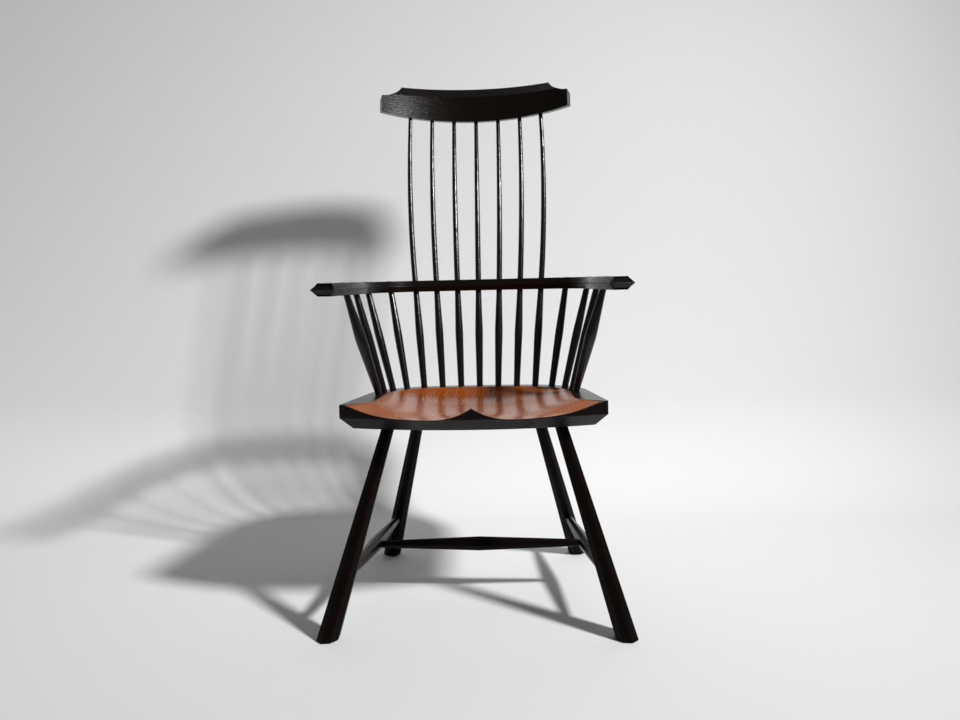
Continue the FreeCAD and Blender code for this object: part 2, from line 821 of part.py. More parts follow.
def make_comb_blank():
    """Board bent to a radius and cut to its front outline, its underside rising a little to the back."""
    body = doc.addObject("PartDesign::Body", "comb_board")
    front = f"{dim('comb_radius')} - {dim('comb_thickness')} / 2"
    back = f"{dim('comb_radius')} + {dim('comb_thickness')} / 2"
    top = dim("comb_board_height")
    profile = polygon_sketch(
        body_sketch(body, "comb_section", "YZ_Plane"),
        [
            (front, "0"),
            (back, dim("comb_under_rise")),
            (back, top),
            (front, top),
        ],
    )
    bent = body.newObject("PartDesign::Revolution", "comb_bent_board")
    bent.Profile = profile
    bent.ReferenceAxis = (profile, ["V_Axis"])
    bent.Midplane = True
    inner_radius = mm("comb_radius") - mm("comb_thickness") / 2
    bent.Angle = 2 * math.degrees(math.asin((comb_half_length + OVERLAP) / inner_radius))
    body.Placement = comb_place.multiply(Placement(Vector(0, -mm("comb_radius"), 0), Rotation()))

    half = comb_half_length
    shoulder = comb_shoulder_half
    height = mm("comb_shoulder_height")
    end_top = mm("comb_end_height")
    cove_radius = ((half - shoulder) ** 2 + (height - end_top) ** 2) / 2 / (height - end_top)
    cove_turn = math.asin((half - shoulder) / cove_radius) / 2
    cove_middle = Vector(
        half - cove_radius * math.sin(cove_turn), 0, end_top + cove_radius * (1 - math.cos(cove_turn))
    )

    def mirrored(point):
        return Vector(-point.x, point.y, point.z)

    end_low = Vector(half + OVERLAP / 2, 0, 0)
    end_high = Vector(half + OVERLAP / 2, 0, end_top)
    cove_foot = Vector(half, 0, end_top)
    corner = Vector(shoulder, 0, height)
    wire = Part.Wire(
        [
            Part.makeLine(mirrored(end_low), end_low),
            Part.makeLine(end_low, end_high),
            Part.makeLine(end_high, cove_foot),
            Part.Arc(cove_foot, cove_middle, corner).toShape(),
            Part.Arc(corner, Vector(0, 0, mm("comb_board_height")), mirrored(corner)).toShape(),
            Part.Arc(mirrored(corner), mirrored(cove_middle), mirrored(cove_foot)).toShape(),
            Part.makeLine(mirrored(cove_foot), mirrored(end_high)),
            Part.makeLine(mirrored(end_high), mirrored(end_low)),
        ]
    )
    outline = Part.Face(wire)
    outline.translate(Vector(0, -mm("comb_radius"), 0))
    space = shape_object("comb_outline", outline.extrude(Vector(0, 2 * mm("comb_radius"), 0)), comb_place)
    board = doc.addObject("Part::Common", "comb_blank")
    board.Base = body
    board.Tool = space
    ends = compound("comb_end_spaces", [make_comb_end_space(side_name) for side_name in SIDES])
    return cut("comb_bevelled", cut("comb_cut_to_length", board, ends), make_comb_bevel())


def make_comb_peg(bend, label, room, past=0):
    """Peg from the back of the comb through one stick's axis, or its hole with room, run past the back."""
    entry, heading = bend.at(1)
    rise = heading.dot(comb_place.Rotation.multVec(UP))
    crossing = comb_place.inverse().multVec(entry + heading * (mm("comb_peg_height") / rise))
    angle = math.atan2(crossing.x, crossing.y + mm("comb_radius"))
    outer = mm("comb_thickness") / 2
    start = comb_place.multVec(comb_local(angle, outer - mm("comb_peg_length"), crossing.z))
    end = comb_place.multVec(comb_local(angle, outer + past, crossing.z))
    direction = end - start
    diameter = f"{dim('comb_peg_diameter')} + 2 * {room}"
    return rod(label, aligned(start, direction, UP), diameter, direction.Length)


# Build every piece.

pieces = []


def finish(label, result):
    """Gives a finished piece its node name."""
    result.Label = label
    pieces.append(result)


clearance = dim("fit_clearance")
seat_blank, seat_corner = make_seat_blank()
below_floor = doc.addObject("Part::Box", "below_floor")
below_floor.Length = TRIM_SPACE
below_floor.Width = TRIM_SPACE
below_floor.Height = TRIM_SPACE
below_floor.Placement = Placement(Vector(-TRIM_SPACE / 2, -TRIM_SPACE / 2, -TRIM_SPACE), Rotation())
above_arm = doc.addObject("Part::Box", "above_arm")
above_arm.Length = TRIM_SPACE
above_arm.Width = TRIM_SPACE
above_arm.Height = TRIM_SPACE
above_arm.Placement = Placement(Vector(-TRIM_SPACE / 2, -TRIM_SPACE / 2, mm("arm_top_height")), Rotation())

seat_spaces = []
arm_spaces = []
comb_spaces = []
peg_holes = []

legs = {}
shafts = {}
for leg_end in ("front", "rear"):
    for side_name in SIDES:
        leg = Leg(leg_end, side_name)
        legs[leg_end, side_name] = leg
        shafts[leg_end, side_name] = make_leg_shaft(leg, seat_blank, below_floor)
        seat_spaces.append(leg.tenon(f"{leg.label}_seat_mortise", clearance))

side_bars = {}
leg_mortises = {}
side_middles = {}
for side_name in SIDES:
    start = legs["front", side_name].at_height(mm("stretcher_height"))
    end = legs["rear", side_name].at_height(mm("stretcher_height"))
    side_middles[side_name] = (start + end) / 2
    whole, bar, mortises = make_stretcher(
        f"side_stretcher_{side_name}",
        start,
        end,
        dim("side_stretcher_belly"),
        [shafts["front", side_name], shafts["rear", side_name]],
    )
    side_bars[side_name] = (whole, bar)
    leg_mortises["front", side_name], leg_mortises["rear", side_name] = mortises

medial, _, medial_mortises = make_stretcher(
    "medial_stretcher",
    side_middles["left"],
    side_middles["right"],
    dim("medial_stretcher_belly"),
    [side_bars["left"][1], side_bars["right"][1]],
)
finish("medial_stretcher", medial)
for (side_name, (whole, _)), mortise in zip(side_bars.items(), medial_mortises):
    label = f"side_stretcher_{side_name}"
    finish(label, cut(f"{label}_mortised", whole, mortise))

for key, leg in legs.items():
    whole = fuse(f"{leg.label}_whole", [shafts[key], leg.tenon(f"{leg.label}_tenon", "0")])
    finish(leg.label, cut(f"{leg.label}_mortised", whole, leg_mortises[key]))

for stick in back_sticks + arm_sticks:
    hole_start = aligned(stick.point(-mm("stick_seat_depth") - mm("fit_clearance")), stick.line, FRONT)
    hole_length = mm("stick_seat_depth") + mm("stick_seat_diameter")
    seat_spaces.append(
        rod(f"{stick.label}_seat_mortise", hole_start, loose(dim("stick_seat_diameter")), hole_length)
    )
    through = stick.above_arm - stick.below_arm + 2 * mm("stick_arm_diameter")
    hole_start = aligned(stick.point(stick.below_arm - mm("stick_arm_diameter")), stick.line, FRONT)
    arm_spaces.append(rod(f"{stick.label}_arm_hole", hole_start, loose(dim("stick_arm_diameter")), through))

pegs = []
pegged = (-BACK_STICKS_EACH_SIDE, 0, BACK_STICKS_EACH_SIDE)
for stick, index in zip(back_sticks, range(-BACK_STICKS_EACH_SIDE, BACK_STICKS_EACH_SIDE + 1)):
    bend = back_stick_bend(index)
    blank = make_back_stick(stick, bend)
    entry, heading = bend.at(1)
    hole_start = aligned(entry - heading * mm("stick_comb_diameter"), heading, FRONT)
    hole_length = mm("stick_comb_diameter") + mm("comb_mortise_depth") + mm("fit_clearance")
    comb_spaces.append(
        rod(f"{stick.label}_comb_mortise", hole_start, loose(dim("stick_comb_diameter")), hole_length)
    )
    if index in pegged:
        pegs.append(make_comb_peg(bend, f"{stick.label}_peg", "0"))
        hole = make_comb_peg(bend, f"{stick.label}_peg_hole", clearance, OVERLAP)
        peg_holes.append(hole)
        finish(stick.label, cut(f"{stick.label}_pegged", blank, hole))
    else:
        finish(stick.label, blank)

wedges = []
for stick in arm_sticks:
    blank = ruled_loft(f"{stick.label}_blank", lower_sections(stick, stick.above_arm + RUN_PAST))
    flush = cut(f"{stick.label}_flush", blank, above_arm)
    kerf = make_arm_wedge(stick, f"{stick.label}_kerf", clearance)
    finish(stick.label, cut(f"{stick.label}_kerfed", flush, kerf))
    wedge = make_arm_wedge(stick, f"{stick.label}_wedge", "0")
    wedges.append(cut(f"{stick.label}_wedge_flush", wedge, above_arm))

arm_rail, hand_bevels = make_arm_blank()
seat_carved = seat_blank
for number, space in enumerate(make_saddle_tools(seat_corner), start=1):
    seat_carved = cut(f"seat_carved_{number}", seat_carved, space)
finish("seat", cut("seat_mortised", seat_carved, compound("seat_spaces", seat_spaces)))
finish("arm_bow", cut("arm_drilled", arm_rail, compound("arm_spaces", arm_spaces + [hand_bevels])))
comb_mortised = cut("comb_mortised", make_comb_blank(), compound("comb_spaces", comb_spaces))
finish("comb", cut("comb_drilled", comb_mortised, compound("peg_holes", peg_holes)))
finish("arm_wedges", compound("arm_wedge_set", wedges))
finish("comb_pegs", compound("comb_peg_set", pegs))

doc.recompute()

for item in doc.Objects:
    if "Invalid" in item.State or "Error" in item.State:
        raise RuntimeError(f"{item.Label} could not be made: {item.State}")
box = FreeCAD.BoundBox()
for piece in pieces:
    shape = piece.Shape
    if shape.isNull() or not shape.isValid() or not shape.Solids:
        raise RuntimeError(f"{piece.Label} is not a valid solid")
    box.add(shape.optimalBoundingBox(False))

os.makedirs("parts", exist_ok=True)
for piece in pieces:
    piece.Shape.exportStep(f"parts/{piece.Label}.step")
    print(f"{piece.Label}: {len(piece.Shape.Solids)} solid(s), {piece.Shape.Volume / 1000:.1f} cm3")
print(f"Overall {box.XLength:.1f} x {box.YLength:.1f} x {box.ZLength:.1f} mm")
print(f"Depth from {box.YMin:.1f} to {box.YMax:.1f} mm, height from {box.ZMin:.2f} to {box.ZMax:.1f} mm")
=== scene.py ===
# %% [markdown]
# # A comb-back stick armchair
#
# The chair is a thick plank seat on splayed legs, with sticks rising from the seat through a bent
# arm to a curved comb. The solids are already packed, and this lesson dresses them: each piece is
# built again as a clean mesh in the same place, with soft arrises and real finishes. Lengths are
# metres, the floor is Z = 0 and the sitter faces -Y, so the sitter's left hand is at +X.

# %% Open the frame
import math

import bmesh
import bpy
from mathutils import Matrix, Vector


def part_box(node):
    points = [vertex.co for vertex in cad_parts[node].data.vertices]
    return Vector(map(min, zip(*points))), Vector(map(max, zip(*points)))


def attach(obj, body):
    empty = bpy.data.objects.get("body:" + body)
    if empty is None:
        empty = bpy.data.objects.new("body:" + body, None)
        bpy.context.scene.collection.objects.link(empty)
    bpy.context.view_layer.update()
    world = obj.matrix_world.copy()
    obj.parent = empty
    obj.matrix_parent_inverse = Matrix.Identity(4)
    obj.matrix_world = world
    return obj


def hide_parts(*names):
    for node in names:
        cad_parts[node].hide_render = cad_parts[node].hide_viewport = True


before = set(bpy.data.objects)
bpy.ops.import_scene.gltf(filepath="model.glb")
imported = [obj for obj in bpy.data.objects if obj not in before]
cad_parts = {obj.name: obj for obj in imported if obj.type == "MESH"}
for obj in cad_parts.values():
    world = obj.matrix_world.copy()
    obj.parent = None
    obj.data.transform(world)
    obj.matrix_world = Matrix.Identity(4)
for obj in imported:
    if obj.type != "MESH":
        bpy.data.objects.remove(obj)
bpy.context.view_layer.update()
MM = 0.001
print("solids in the frame:", len(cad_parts))

# %% [markdown]
# ## The camera
#
# The view is a low one from about arm height, a little to the sitter's left, tilted down by a few
# degrees. A camera's own axes look along -Z, so the stand is made in three plain turns: roll it about
# its own line of sight, raise it until it looks nearly level along +Y, and turn it a little sideways.

# %% Camera
CAMERA_PLACE = Vector((0.0755, -1.5775, 0.6662))
CAMERA_YAW = math.radians(2.469)
CAMERA_TILT = math.radians(6.337)
CAMERA_ROLL = math.radians(-1.366)
FOCAL_LENGTH_PX = 735.0
IMAGE_WIDTH_PX = 960.0
SENSOR_WIDTH_MM = 36.0

scene = bpy.context.scene
camera_data = bpy.data.cameras.new("camera")
camera_data.sensor_width = SENSOR_WIDTH_MM
camera_data.lens = FOCAL_LENGTH_PX / IMAGE_WIDTH_PX * SENSOR_WIDTH_MM
camera = bpy.data.objects.new("camera", camera_data)
camera.matrix_world = (
    Matrix.Translation(CAMERA_PLACE)
    @ Matrix.Rotation(CAMERA_YAW, 4, "Z")
    @ Matrix.Rotation(math.pi / 2 - CAMERA_TILT, 4, "X")
    @ Matrix.Rotation(CAMERA_ROLL, 4, "Z")
)
scene.collection.objects.link(camera)
scene.camera = camera
scene.view_settings.view_transform = "Standard"
print("lens: %.1f mm" % camera_data.lens)

# %% [markdown]
# ## Plan lines
#
# The edge of the seat, the line of its sticks and the line of the arm are all one kind of bow: a
# shallow arc at the back, a tight arc at each corner, then a straight or a flared run forward. A chair
# maker draws it once with a compass, so here it is one small class that gives a place and a heading
# at any distance from the middle of the back.

# %% Bows in plan
class PlanBow:
    """One side of a bow, drawn from the middle of its back."""

    def __init__(self, back, back_radius, back_turn, corner_radius, side_angle, hand_radius=None):
        self.back = back
        self.back_radius = back_radius
        self.back_turn = back_turn
        self.corner_radius = corner_radius
        self.hand_radius = hand_radius
        self.back_length = back_radius * back_turn
        self.side_start = self.back_length + corner_radius * (side_angle - back_turn)

    def at(self, distance):
        """Sideways place, depth and heading at a distance along the bow."""
        heading = min(distance, self.back_length) / self.back_radius
        x = self.back_radius * math.sin(heading)
        y = self.back - self.back_radius * (1 - math.cos(heading))
        if distance <= self.back_length:
            return x, y, heading
        past_back = min(distance, self.side_start) - self.back_length
        turned = self.back_turn + past_back / self.corner_radius
        x += self.corner_radius * (math.sin(turned) - math.sin(self.back_turn))
        y -= self.corner_radius * (math.cos(self.back_turn) - math.cos(turned))
        if distance <= self.side_start:
            return x, y, turned
        run = distance - self.side_start
        if self.hand_radius is None:
            return x + run * math.cos(turned), y - run * math.sin(turned), turned
        flared = turned - run / self.hand_radius
        x += self.hand_radius * (math.sin(turned) - math.sin(flared))
        y -= self.hand_radius * (math.cos(flared) - math.cos(turned))
        return x, y, flared


SEAT_DEPTH = 362 * MM
SEAT_BACK_RADIUS = 900 * MM
SEAT_BACK_HALF = 105 * MM
SEAT_BACK_TURN = math.asin(SEAT_BACK_HALF / SEAT_BACK_RADIUS)
SEAT_CORNER_RADIUS = 150 * MM
SEAT_SIDE_ANGLE = math.radians(85)
SEAT_FRONT_BOW = 52 * MM


def seat_bow(inset):
    """Edge of the seat, moved inward, in the seat's own plane."""
    return PlanBow(
        SEAT_DEPTH - inset,
        SEAT_BACK_RADIUS - inset,
        SEAT_BACK_TURN,
        SEAT_CORNER_RADIUS - inset,
        SEAT_SIDE_ANGLE,
    )


SEAT_FORWARD = 201 * MM
SEAT_HEIGHT = 432 * MM
SEAT_FALL = math.radians(3)
seat_front = Vector((0, -SEAT_FORWARD, SEAT_HEIGHT))
seat_frame = Matrix.Translation(seat_front) @ Matrix.Rotation(-SEAT_FALL, 4, "X")

ARM_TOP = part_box("arm_bow")[1].z
ARM_THICKNESS = 26 * MM
ARM_OVERHANG = 22.5 * MM
ARM_BACK_RADIUS = 870 * MM
ARM_BACK_HALF = 150 * MM
ARM_CORNER_RADIUS = 138 * MM
ARM_SIDE_ANGLE = math.radians(88)
ARM_HAND_ANGLE = math.radians(75)
ARM_HAND_RADIUS = 870 * MM
arm_middle_height = ARM_TOP - ARM_THICKNESS / 2
arm_line = PlanBow(
    (seat_frame @ Vector((0, SEAT_DEPTH, 0))).y + ARM_OVERHANG,
    ARM_BACK_RADIUS,
    math.asin(ARM_BACK_HALF / ARM_BACK_RADIUS),
    ARM_CORNER_RADIUS,
    ARM_SIDE_ANGLE,
    ARM_HAND_RADIUS,
)
arm_half_length = arm_line.side_start + ARM_HAND_RADIUS * (ARM_SIDE_ANGLE - ARM_HAND_ANGLE)
print("arm rail along its middle: %.0f mm" % (2 * arm_half_length / MM))

# %% [markdown]
# ## A maker of pieces
#
# Every piece ends the same way: its mesh goes into an object that rides on the chair and stands for
# its solid. Each point also keeps a grain place, which is how far along, across and into the stick of
# timber it lies. The finishes read it, so the grain follows a bent stick or arm as it does in split
# wood. Each kind of piece starts at its own place along the timber, so no two show the same grain.

# %% Mesh to piece
def make_piece(name, points, faces, grain, finishes, nodes):
    """Piece of the chair that rides on it and stands for its solids."""
    mesh = bpy.data.meshes.new(name)
    mesh.from_pydata([tuple(point) for point in points], [], faces)
    mesh.validate()
    keeper = mesh.attributes.new("grain", "FLOAT_VECTOR", "POINT")
    for item, place in zip(keeper.data, grain):
        item.vector = place
    for finish in finishes:
        mesh.materials.append(finish)
    mesh.shade_smooth()
    piece = bpy.data.objects.new(name, mesh)
    scene.collection.objects.link(piece)
    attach(piece, "root")
    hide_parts(*nodes)
    return piece


def soften_arrises(piece, width, angle=28):
    """Rounds every arris a little, as a scraper and a rub with abrasive leave it."""
    bevel = piece.modifiers.new("soft_arris", "BEVEL")
    bevel.width = width
    bevel.segments = 2
    bevel.limit_method = "ANGLE"
    bevel.angle_limit = math.radians(angle)
    bevel.harden_normals = True


def tube_faces(rings, around):
    """Quads between rings of points, and a face over each end."""
    faces = []
    for ring in range(rings - 1):
        for side in range(around):
            after = (side + 1) % around
            low, high = ring * around, (ring + 1) * around
            faces.append((low + side, low + after, high + after, high + side))
    faces.append(tuple(reversed(range(around))))
    faces.append(tuple((rings - 1) * around + side for side in range(around)))
    return faces


def shifted(faces, start):
    """Faces of a part whose points come after others in the same mesh."""
    return [tuple(start + corner for corner in face) for face in faces]


def weld(skin, mesh, distance):
    """Merges points that fall on one another and turns every face outward."""
    bmesh.ops.remove_doubles(skin, verts=skin.verts, dist=distance)
    bmesh.ops.recalc_face_normals(skin, faces=skin.faces)
    skin.to_mesh(mesh)
    skin.free()


def square_axes(axis, toward):
    """Two directions across an axis, the first turned toward a given direction."""
    first = (toward - axis * toward.dot(axis)).normalized()
    return first, axis.cross(first)


UP = Vector((0, 0, 1))
FRONT = Vector((0, -1, 0))

# %% [markdown]
# ## Finish: black stain on open-grained wood
#
# The frame of the chair is stained black and waxed. Up close it isn't flat: the pores stay open as
# fine lines along the grain, the stain is a shade warmer on the harder wood, and the wax shines more
# there. Stretched noise read from the grain place gives all three. Hands and backs polish what they
# touch, so one recipe gives three sheens: dull legs, a waxed comb, arm and deck, and sticks burnished
# until they glint.

# %% Tools for finishes
NODE_STEP = 200


def feed(tree, node, inputs):
    """Gives each input of a node a value, or joins it to the output of another node."""
    for name, value in inputs.items():
        if isinstance(value, bpy.types.NodeSocket):
            tree.links.new(value, node.inputs[name])
        else:
            node.inputs[name].default_value = value


def add_node(tree, kind, inputs, **settings):
    """Node with its settings and inputs, laid out after those that are there."""
    node = tree.nodes.new(kind)
    node.location.x = -NODE_STEP * len(tree.nodes)
    for name, value in settings.items():
        setattr(node, name, value)
    feed(tree, node, inputs)
    return node


def new_finish(name):
    """Material, its tree of nodes and the shader in it."""
    material = bpy.data.materials.new(name)
    material.use_nodes = True
    tree = material.node_tree
    return material, tree, tree.nodes["Principled BSDF"]


def grain_place(tree):
    """Output that gives the grain place of a point."""
    return add_node(tree, "ShaderNodeAttribute", {}, attribute_name="grain").outputs["Vector"]


def stretched_noise(tree, source, stretch, detail):
    """Noise that is long in the grain's direction."""
    stretched = add_node(tree, "ShaderNodeMapping", {"Vector": source, "Scale": stretch})
    inputs = {"Vector": stretched.outputs["Vector"], "Scale": 1, "Detail": detail, "Roughness": 0.6}
    return add_node(tree, "ShaderNodeTexNoise", inputs).outputs["Fac"]


def ramp_between(tree, source, low, high, dark, light):
    """Colour that goes from dark to light as a value goes from low to high."""
    ramp = add_node(tree, "ShaderNodeValToRGB", {"Fac": source})
    for stop, position, colour in zip(ramp.color_ramp.elements, (low, high), (dark, light)):
        stop.position = position
        stop.color = (*colour, 1)
    return ramp.outputs["Color"]


def range_between(tree, source, low, high, first, last):
    """Number that goes from first to last as a value goes from low to high."""
    inputs = {"Value": source, "From Min": low, "From Max": high, "To Min": first, "To Max": last}
    return add_node(tree, "ShaderNodeMapRange", inputs).outputs["Result"]


def larger(tree, first, second):
    """Larger of two values."""
    return add_node(tree, "ShaderNodeMath", {0: first, 1: second}, operation="MAXIMUM").outputs["Value"]


def raise_bump(tree, height, depth, strength, before=None):
    """Surface raised by a height, on top of the bumps before it."""
    inputs = {"Height": height, "Distance": depth, "Strength": strength}
    if before is not None:
        inputs["Normal"] = before
    return add_node(tree, "ShaderNodeBump", inputs).outputs["Normal"]


# %% Black stain
STAIN_DARK = (0.0022, 0.0012, 0.0009)
STAIN_WARM = (0.0066, 0.0038, 0.0029)
# Waves per metre along the grain and both ways across it.
STREAKS = (7, 260, 260)
PORES = (90, 1500, 1500)
TOOL_WAVES = (12, 38, 38)
FLECKS = (110, 330, 330)
# Values of the noise between which an effect changes.
STREAK_EDGE = (0.3, 0.75)
SHEEN_EDGE = (0.3, 0.7)
PORE_EDGE = (0.32, 0.41)
# Depth of a bump and how strongly it shows.
TOOL_BUMP = (1.2 * MM, 0.25)
FLECK_BUMP = (0.5 * MM, 0.7)
PORE_BUMP = (0.12 * MM, 0.5)


def black_stain(name, roughest, smoothest, shine):
    """Black open-grained wood with a sheen of its own."""
    material, tree, shader = new_finish(name)
    grain = grain_place(tree)
    streaks = stretched_noise(tree, grain, STREAKS, 4)
    pores = stretched_noise(tree, grain, PORES, 2)
    hand = stretched_noise(tree, grain, TOOL_WAVES, 2)
    flecks = stretched_noise(tree, grain, FLECKS, 3)
    pits = range_between(tree, pores, *PORE_EDGE, 0, 1)
    normal = raise_bump(tree, hand, *TOOL_BUMP)
    normal = raise_bump(tree, flecks, *FLECK_BUMP, normal)
    inputs = {
        "Base Color": ramp_between(tree, streaks, *STREAK_EDGE, STAIN_DARK, STAIN_WARM),
        "Roughness": range_between(tree, streaks, *SHEEN_EDGE, roughest, smoothest),
        "Specular IOR Level": shine,
        "Normal": raise_bump(tree, pits, *PORE_BUMP, normal),
    }
    feed(tree, shader, inputs)
    return material


dull = black_stain("dull_stain", roughest=0.40, smoothest=0.31, shine=0.06)
waxed = black_stain("waxed_stain", roughest=0.31, smoothest=0.21, shine=0.22)
burnished = black_stain("burnished_stain", roughest=0.24, smoothest=0.15, shine=0.5)
print("finishes made:", dull.name, waxed.name, burnished.name)

# %% [markdown]
# ## Finish: the oiled saddle
#
# Only the saddle is bare: a warm brown wood, oiled until it shines. A plank is cut from rings that run
# round the heart of the tree, and carving a hollow into it lays those rings open as nested arches. So
# the colour is a solid pattern of rings about a line that dips through the plank, and the carving does the
# rest. The wave node turns 20 radians for each step of its scale, which sets the number of rings. The
# figure is strongest over the heart and grows plainer to the front, and the shine starts where sitters
# rub the wood.

# %% Oiled saddle
HEART_LINE = Vector((-70 * MM, 320 * MM, -26 * MM))
HEART_DIP = math.radians(13)
RINGS_PER_METRE = 130
WAVE_RADIANS = 20
SWIRLS_PER_METRE = 13
SWIRL_REACH = Vector((50, 50, 50)) * MM
RING_LIGHT = (0.43, 0.116, 0.019)
RING_DARK = (0.24, 0.052, 0.0075)
PLAIN_WOOD = (0.43, 0.124, 0.019)
FIGURE_PLACE = Vector((-75 * MM, 280 * MM, 0))
FIGURE_LEFT = 0.3
STREAK_DARK = (0.55, 0.48, 0.42)
CLOUD_DARK = (0.72, 0.64, 0.58)
BRIGHTER = (1.12, 1.1, 1.08)
DRY_SHINE = 0.03
RUBBED_SHINE = 0.44
LIGHT_RING_ROUGHNESS = 0.22
DARK_RING_ROUGHNESS = 0.255
# Waves per metre across the plank, from front to back along its grain, and through it.
SADDLE_STREAKS = (300, 14, 300)
SADDLE_PORES = (900, 60, 900)
SADDLE_CLOUDS = (9, 6, 9)
# Values between which an effect changes.
RING_EDGE = (0.15, 0.95)
SADDLE_STREAK_EDGE = (0.32, 0.7)
CLOUD_EDGE = (0.3, 0.7)
# Distances between which the figure fades and the polish grows.
FIGURE_EDGE = (110 * MM, 270 * MM)
POLISH_EDGE = (268 * MM, 200 * MM)
# Shares that are mixed in.
STREAK_SHARE = 0.6
CLOUD_SHARE = 0.9
# Depth of a bump and how strongly it shows.
CLOUD_BUMP = (3.5 * MM, 0.2)
SADDLE_PORE_BUMP = (0.06 * MM, 0.06)


def mix_colours(tree, way, share, first, second):
    """Colour made by mixing a share of a second colour into a first."""
    inputs = {"Fac": share, "Color1": first, "Color2": second}
    return add_node(tree, "ShaderNodeMixRGB", inputs, blend_type=way).outputs["Color"]


def oiled_saddle(name):
    """Warm ringed wood that shines where it is rubbed."""
    material, tree, shader = new_finish(name)
    grain = grain_place(tree)
    inputs = {"Vector": grain, "Scale": SWIRLS_PER_METRE, "Detail": 2}
    swirl = add_node(tree, "ShaderNodeTexNoise", inputs)
    inputs = {0: swirl.outputs["Color"], 1: SWIRL_REACH, 2: grain}
    wild = add_node(tree, "ShaderNodeVectorMath", inputs, operation="MULTIPLY_ADD")
    dip = Matrix.Rotation(-HEART_DIP, 3, "X")
    inputs = {
        "Vector": wild.outputs["Vector"],
        "Location": -(dip @ (HEART_LINE + SWIRL_REACH / 2)),
        "Rotation": dip.to_euler(),
    }
    heart = add_node(tree, "ShaderNodeMapping", inputs, vector_type="POINT")
    inputs = {
        "Vector": heart.outputs["Vector"],
        "Scale": RINGS_PER_METRE / WAVE_RADIANS * 2 * math.pi,
        "Distortion": 4,
        "Detail": 3,
        "Detail Scale": 0.5,
    }
    settings = {"wave_type": "RINGS", "rings_direction": "Y", "wave_profile": "SAW"}
    rings = add_node(tree, "ShaderNodeTexWave", inputs, **settings).outputs["Fac"]
    streaks = stretched_noise(tree, grain, SADDLE_STREAKS, 4)
    pores = stretched_noise(tree, grain, SADDLE_PORES, 2)
    clouds = stretched_noise(tree, grain, SADDLE_CLOUDS, 2)
    apart = add_node(tree, "ShaderNodeVectorMath", {0: grain, 1: FIGURE_PLACE}, operation="DISTANCE")
    figure = range_between(tree, apart.outputs["Value"], *FIGURE_EDGE, 1, FIGURE_LEFT)
    colour = ramp_between(tree, rings, *RING_EDGE, RING_LIGHT, RING_DARK)
    colour = mix_colours(tree, "MIX", figure, (*PLAIN_WOOD, 1), colour)
    streak_colour = ramp_between(tree, streaks, *SADDLE_STREAK_EDGE, STREAK_DARK, BRIGHTER)
    colour = mix_colours(tree, "MULTIPLY", STREAK_SHARE, colour, streak_colour)
    cloud_colour = ramp_between(tree, clouds, *CLOUD_EDGE, CLOUD_DARK, BRIGHTER)
    colour = mix_colours(tree, "MULTIPLY", CLOUD_SHARE, colour, cloud_colour)
    depth = add_node(tree, "ShaderNodeSeparateXYZ", {"Vector": grain}).outputs["Y"]
    pits = range_between(tree, pores, *PORE_EDGE, 0, 1)
    normal = raise_bump(tree, clouds, *CLOUD_BUMP)
    inputs = {
        "Base Color": colour,
        "Roughness": range_between(tree, rings, 0, 1, LIGHT_RING_ROUGHNESS, DARK_RING_ROUGHNESS),
        "Specular IOR Level": range_between(tree, depth, *POLISH_EDGE, DRY_SHINE, RUBBED_SHINE),
        "Normal": raise_bump(tree, pits, *SADDLE_PORE_BUMP, normal),
    }
    feed(tree, shader, inputs)
    return material


saddle_wood = oiled_saddle("oiled_saddle")
print("finish made:", saddle_wood.name)

# %% [markdown]
# ## The seat
#
# The seat is one plank: bowed at the front, rounded at the back, bevelled underneath to look thin, and
# hollowed on top into two lobes with a ridge between them. A carved top is a height for every place in
# plan, so the mesh is a web of spokes and rings spread from the middle of the seat. One ring is laid
# exactly on the line where the hollow meets the flat deck, which keeps that edge crisp and lets the bare
# wood stop at it.

# %% Outline of the plank
SEAT_THICKNESS = 48 * MM
SEAT_BEVEL = 22 * MM
SEAT_RIM = 1.2 * MM
SIDE_STEPS = 130
FRONT_STEPS = 90
HALVINGS = 50

side_x, side_y, _ = seat_bow(0).at(seat_bow(0).side_start)
seat_corner = side_x + side_y / math.tan(SEAT_SIDE_ANGLE)
front_radius = (seat_corner**2 + SEAT_FRONT_BOW**2) / 2 / SEAT_FRONT_BOW
front_centre = front_radius - SEAT_FRONT_BOW


def last_inside(low, high, inside):
    """Farthest place between two, found by halving, at which a test still holds."""
    for _ in range(HALVINGS):
        middle = (low + high) / 2
        if inside(middle):
            low = middle
        else:
            high = middle
    return low


def half_outline(inset):
    """Outline from the middle of the back, round the sitter's left, to the middle of the front."""
    bow = seat_bow(inset)
    reach = front_radius - inset

    def behind_front(distance):
        x, y, _ = bow.at(distance)
        return math.hypot(x, y - front_centre) < reach or y > front_centre

    corner = last_inside(bow.side_start, bow.side_start + SEAT_DEPTH, behind_front)
    corner_x, corner_y, _ = bow.at(corner)
    outline = [bow.at(corner * step / SIDE_STEPS)[:2] for step in range(SIDE_STEPS)]
    sweep = math.atan2(corner_x, front_centre - corner_y)
    for step in range(FRONT_STEPS + 1):
        angle = sweep * (1 - step / FRONT_STEPS)
        outline.append((reach * math.sin(angle), front_centre - reach * math.cos(angle)))
    return outline


def whole_outline(inset):
    """Closed outline of the plank, moved inward."""
    left = half_outline(inset)
    right = [(-x, y) for x, y in reversed(left[1:-1])]
    return left + right


outline_count = len(whole_outline(0))
print("seat width at its front corners: %.0f mm" % (2 * seat_corner / MM))

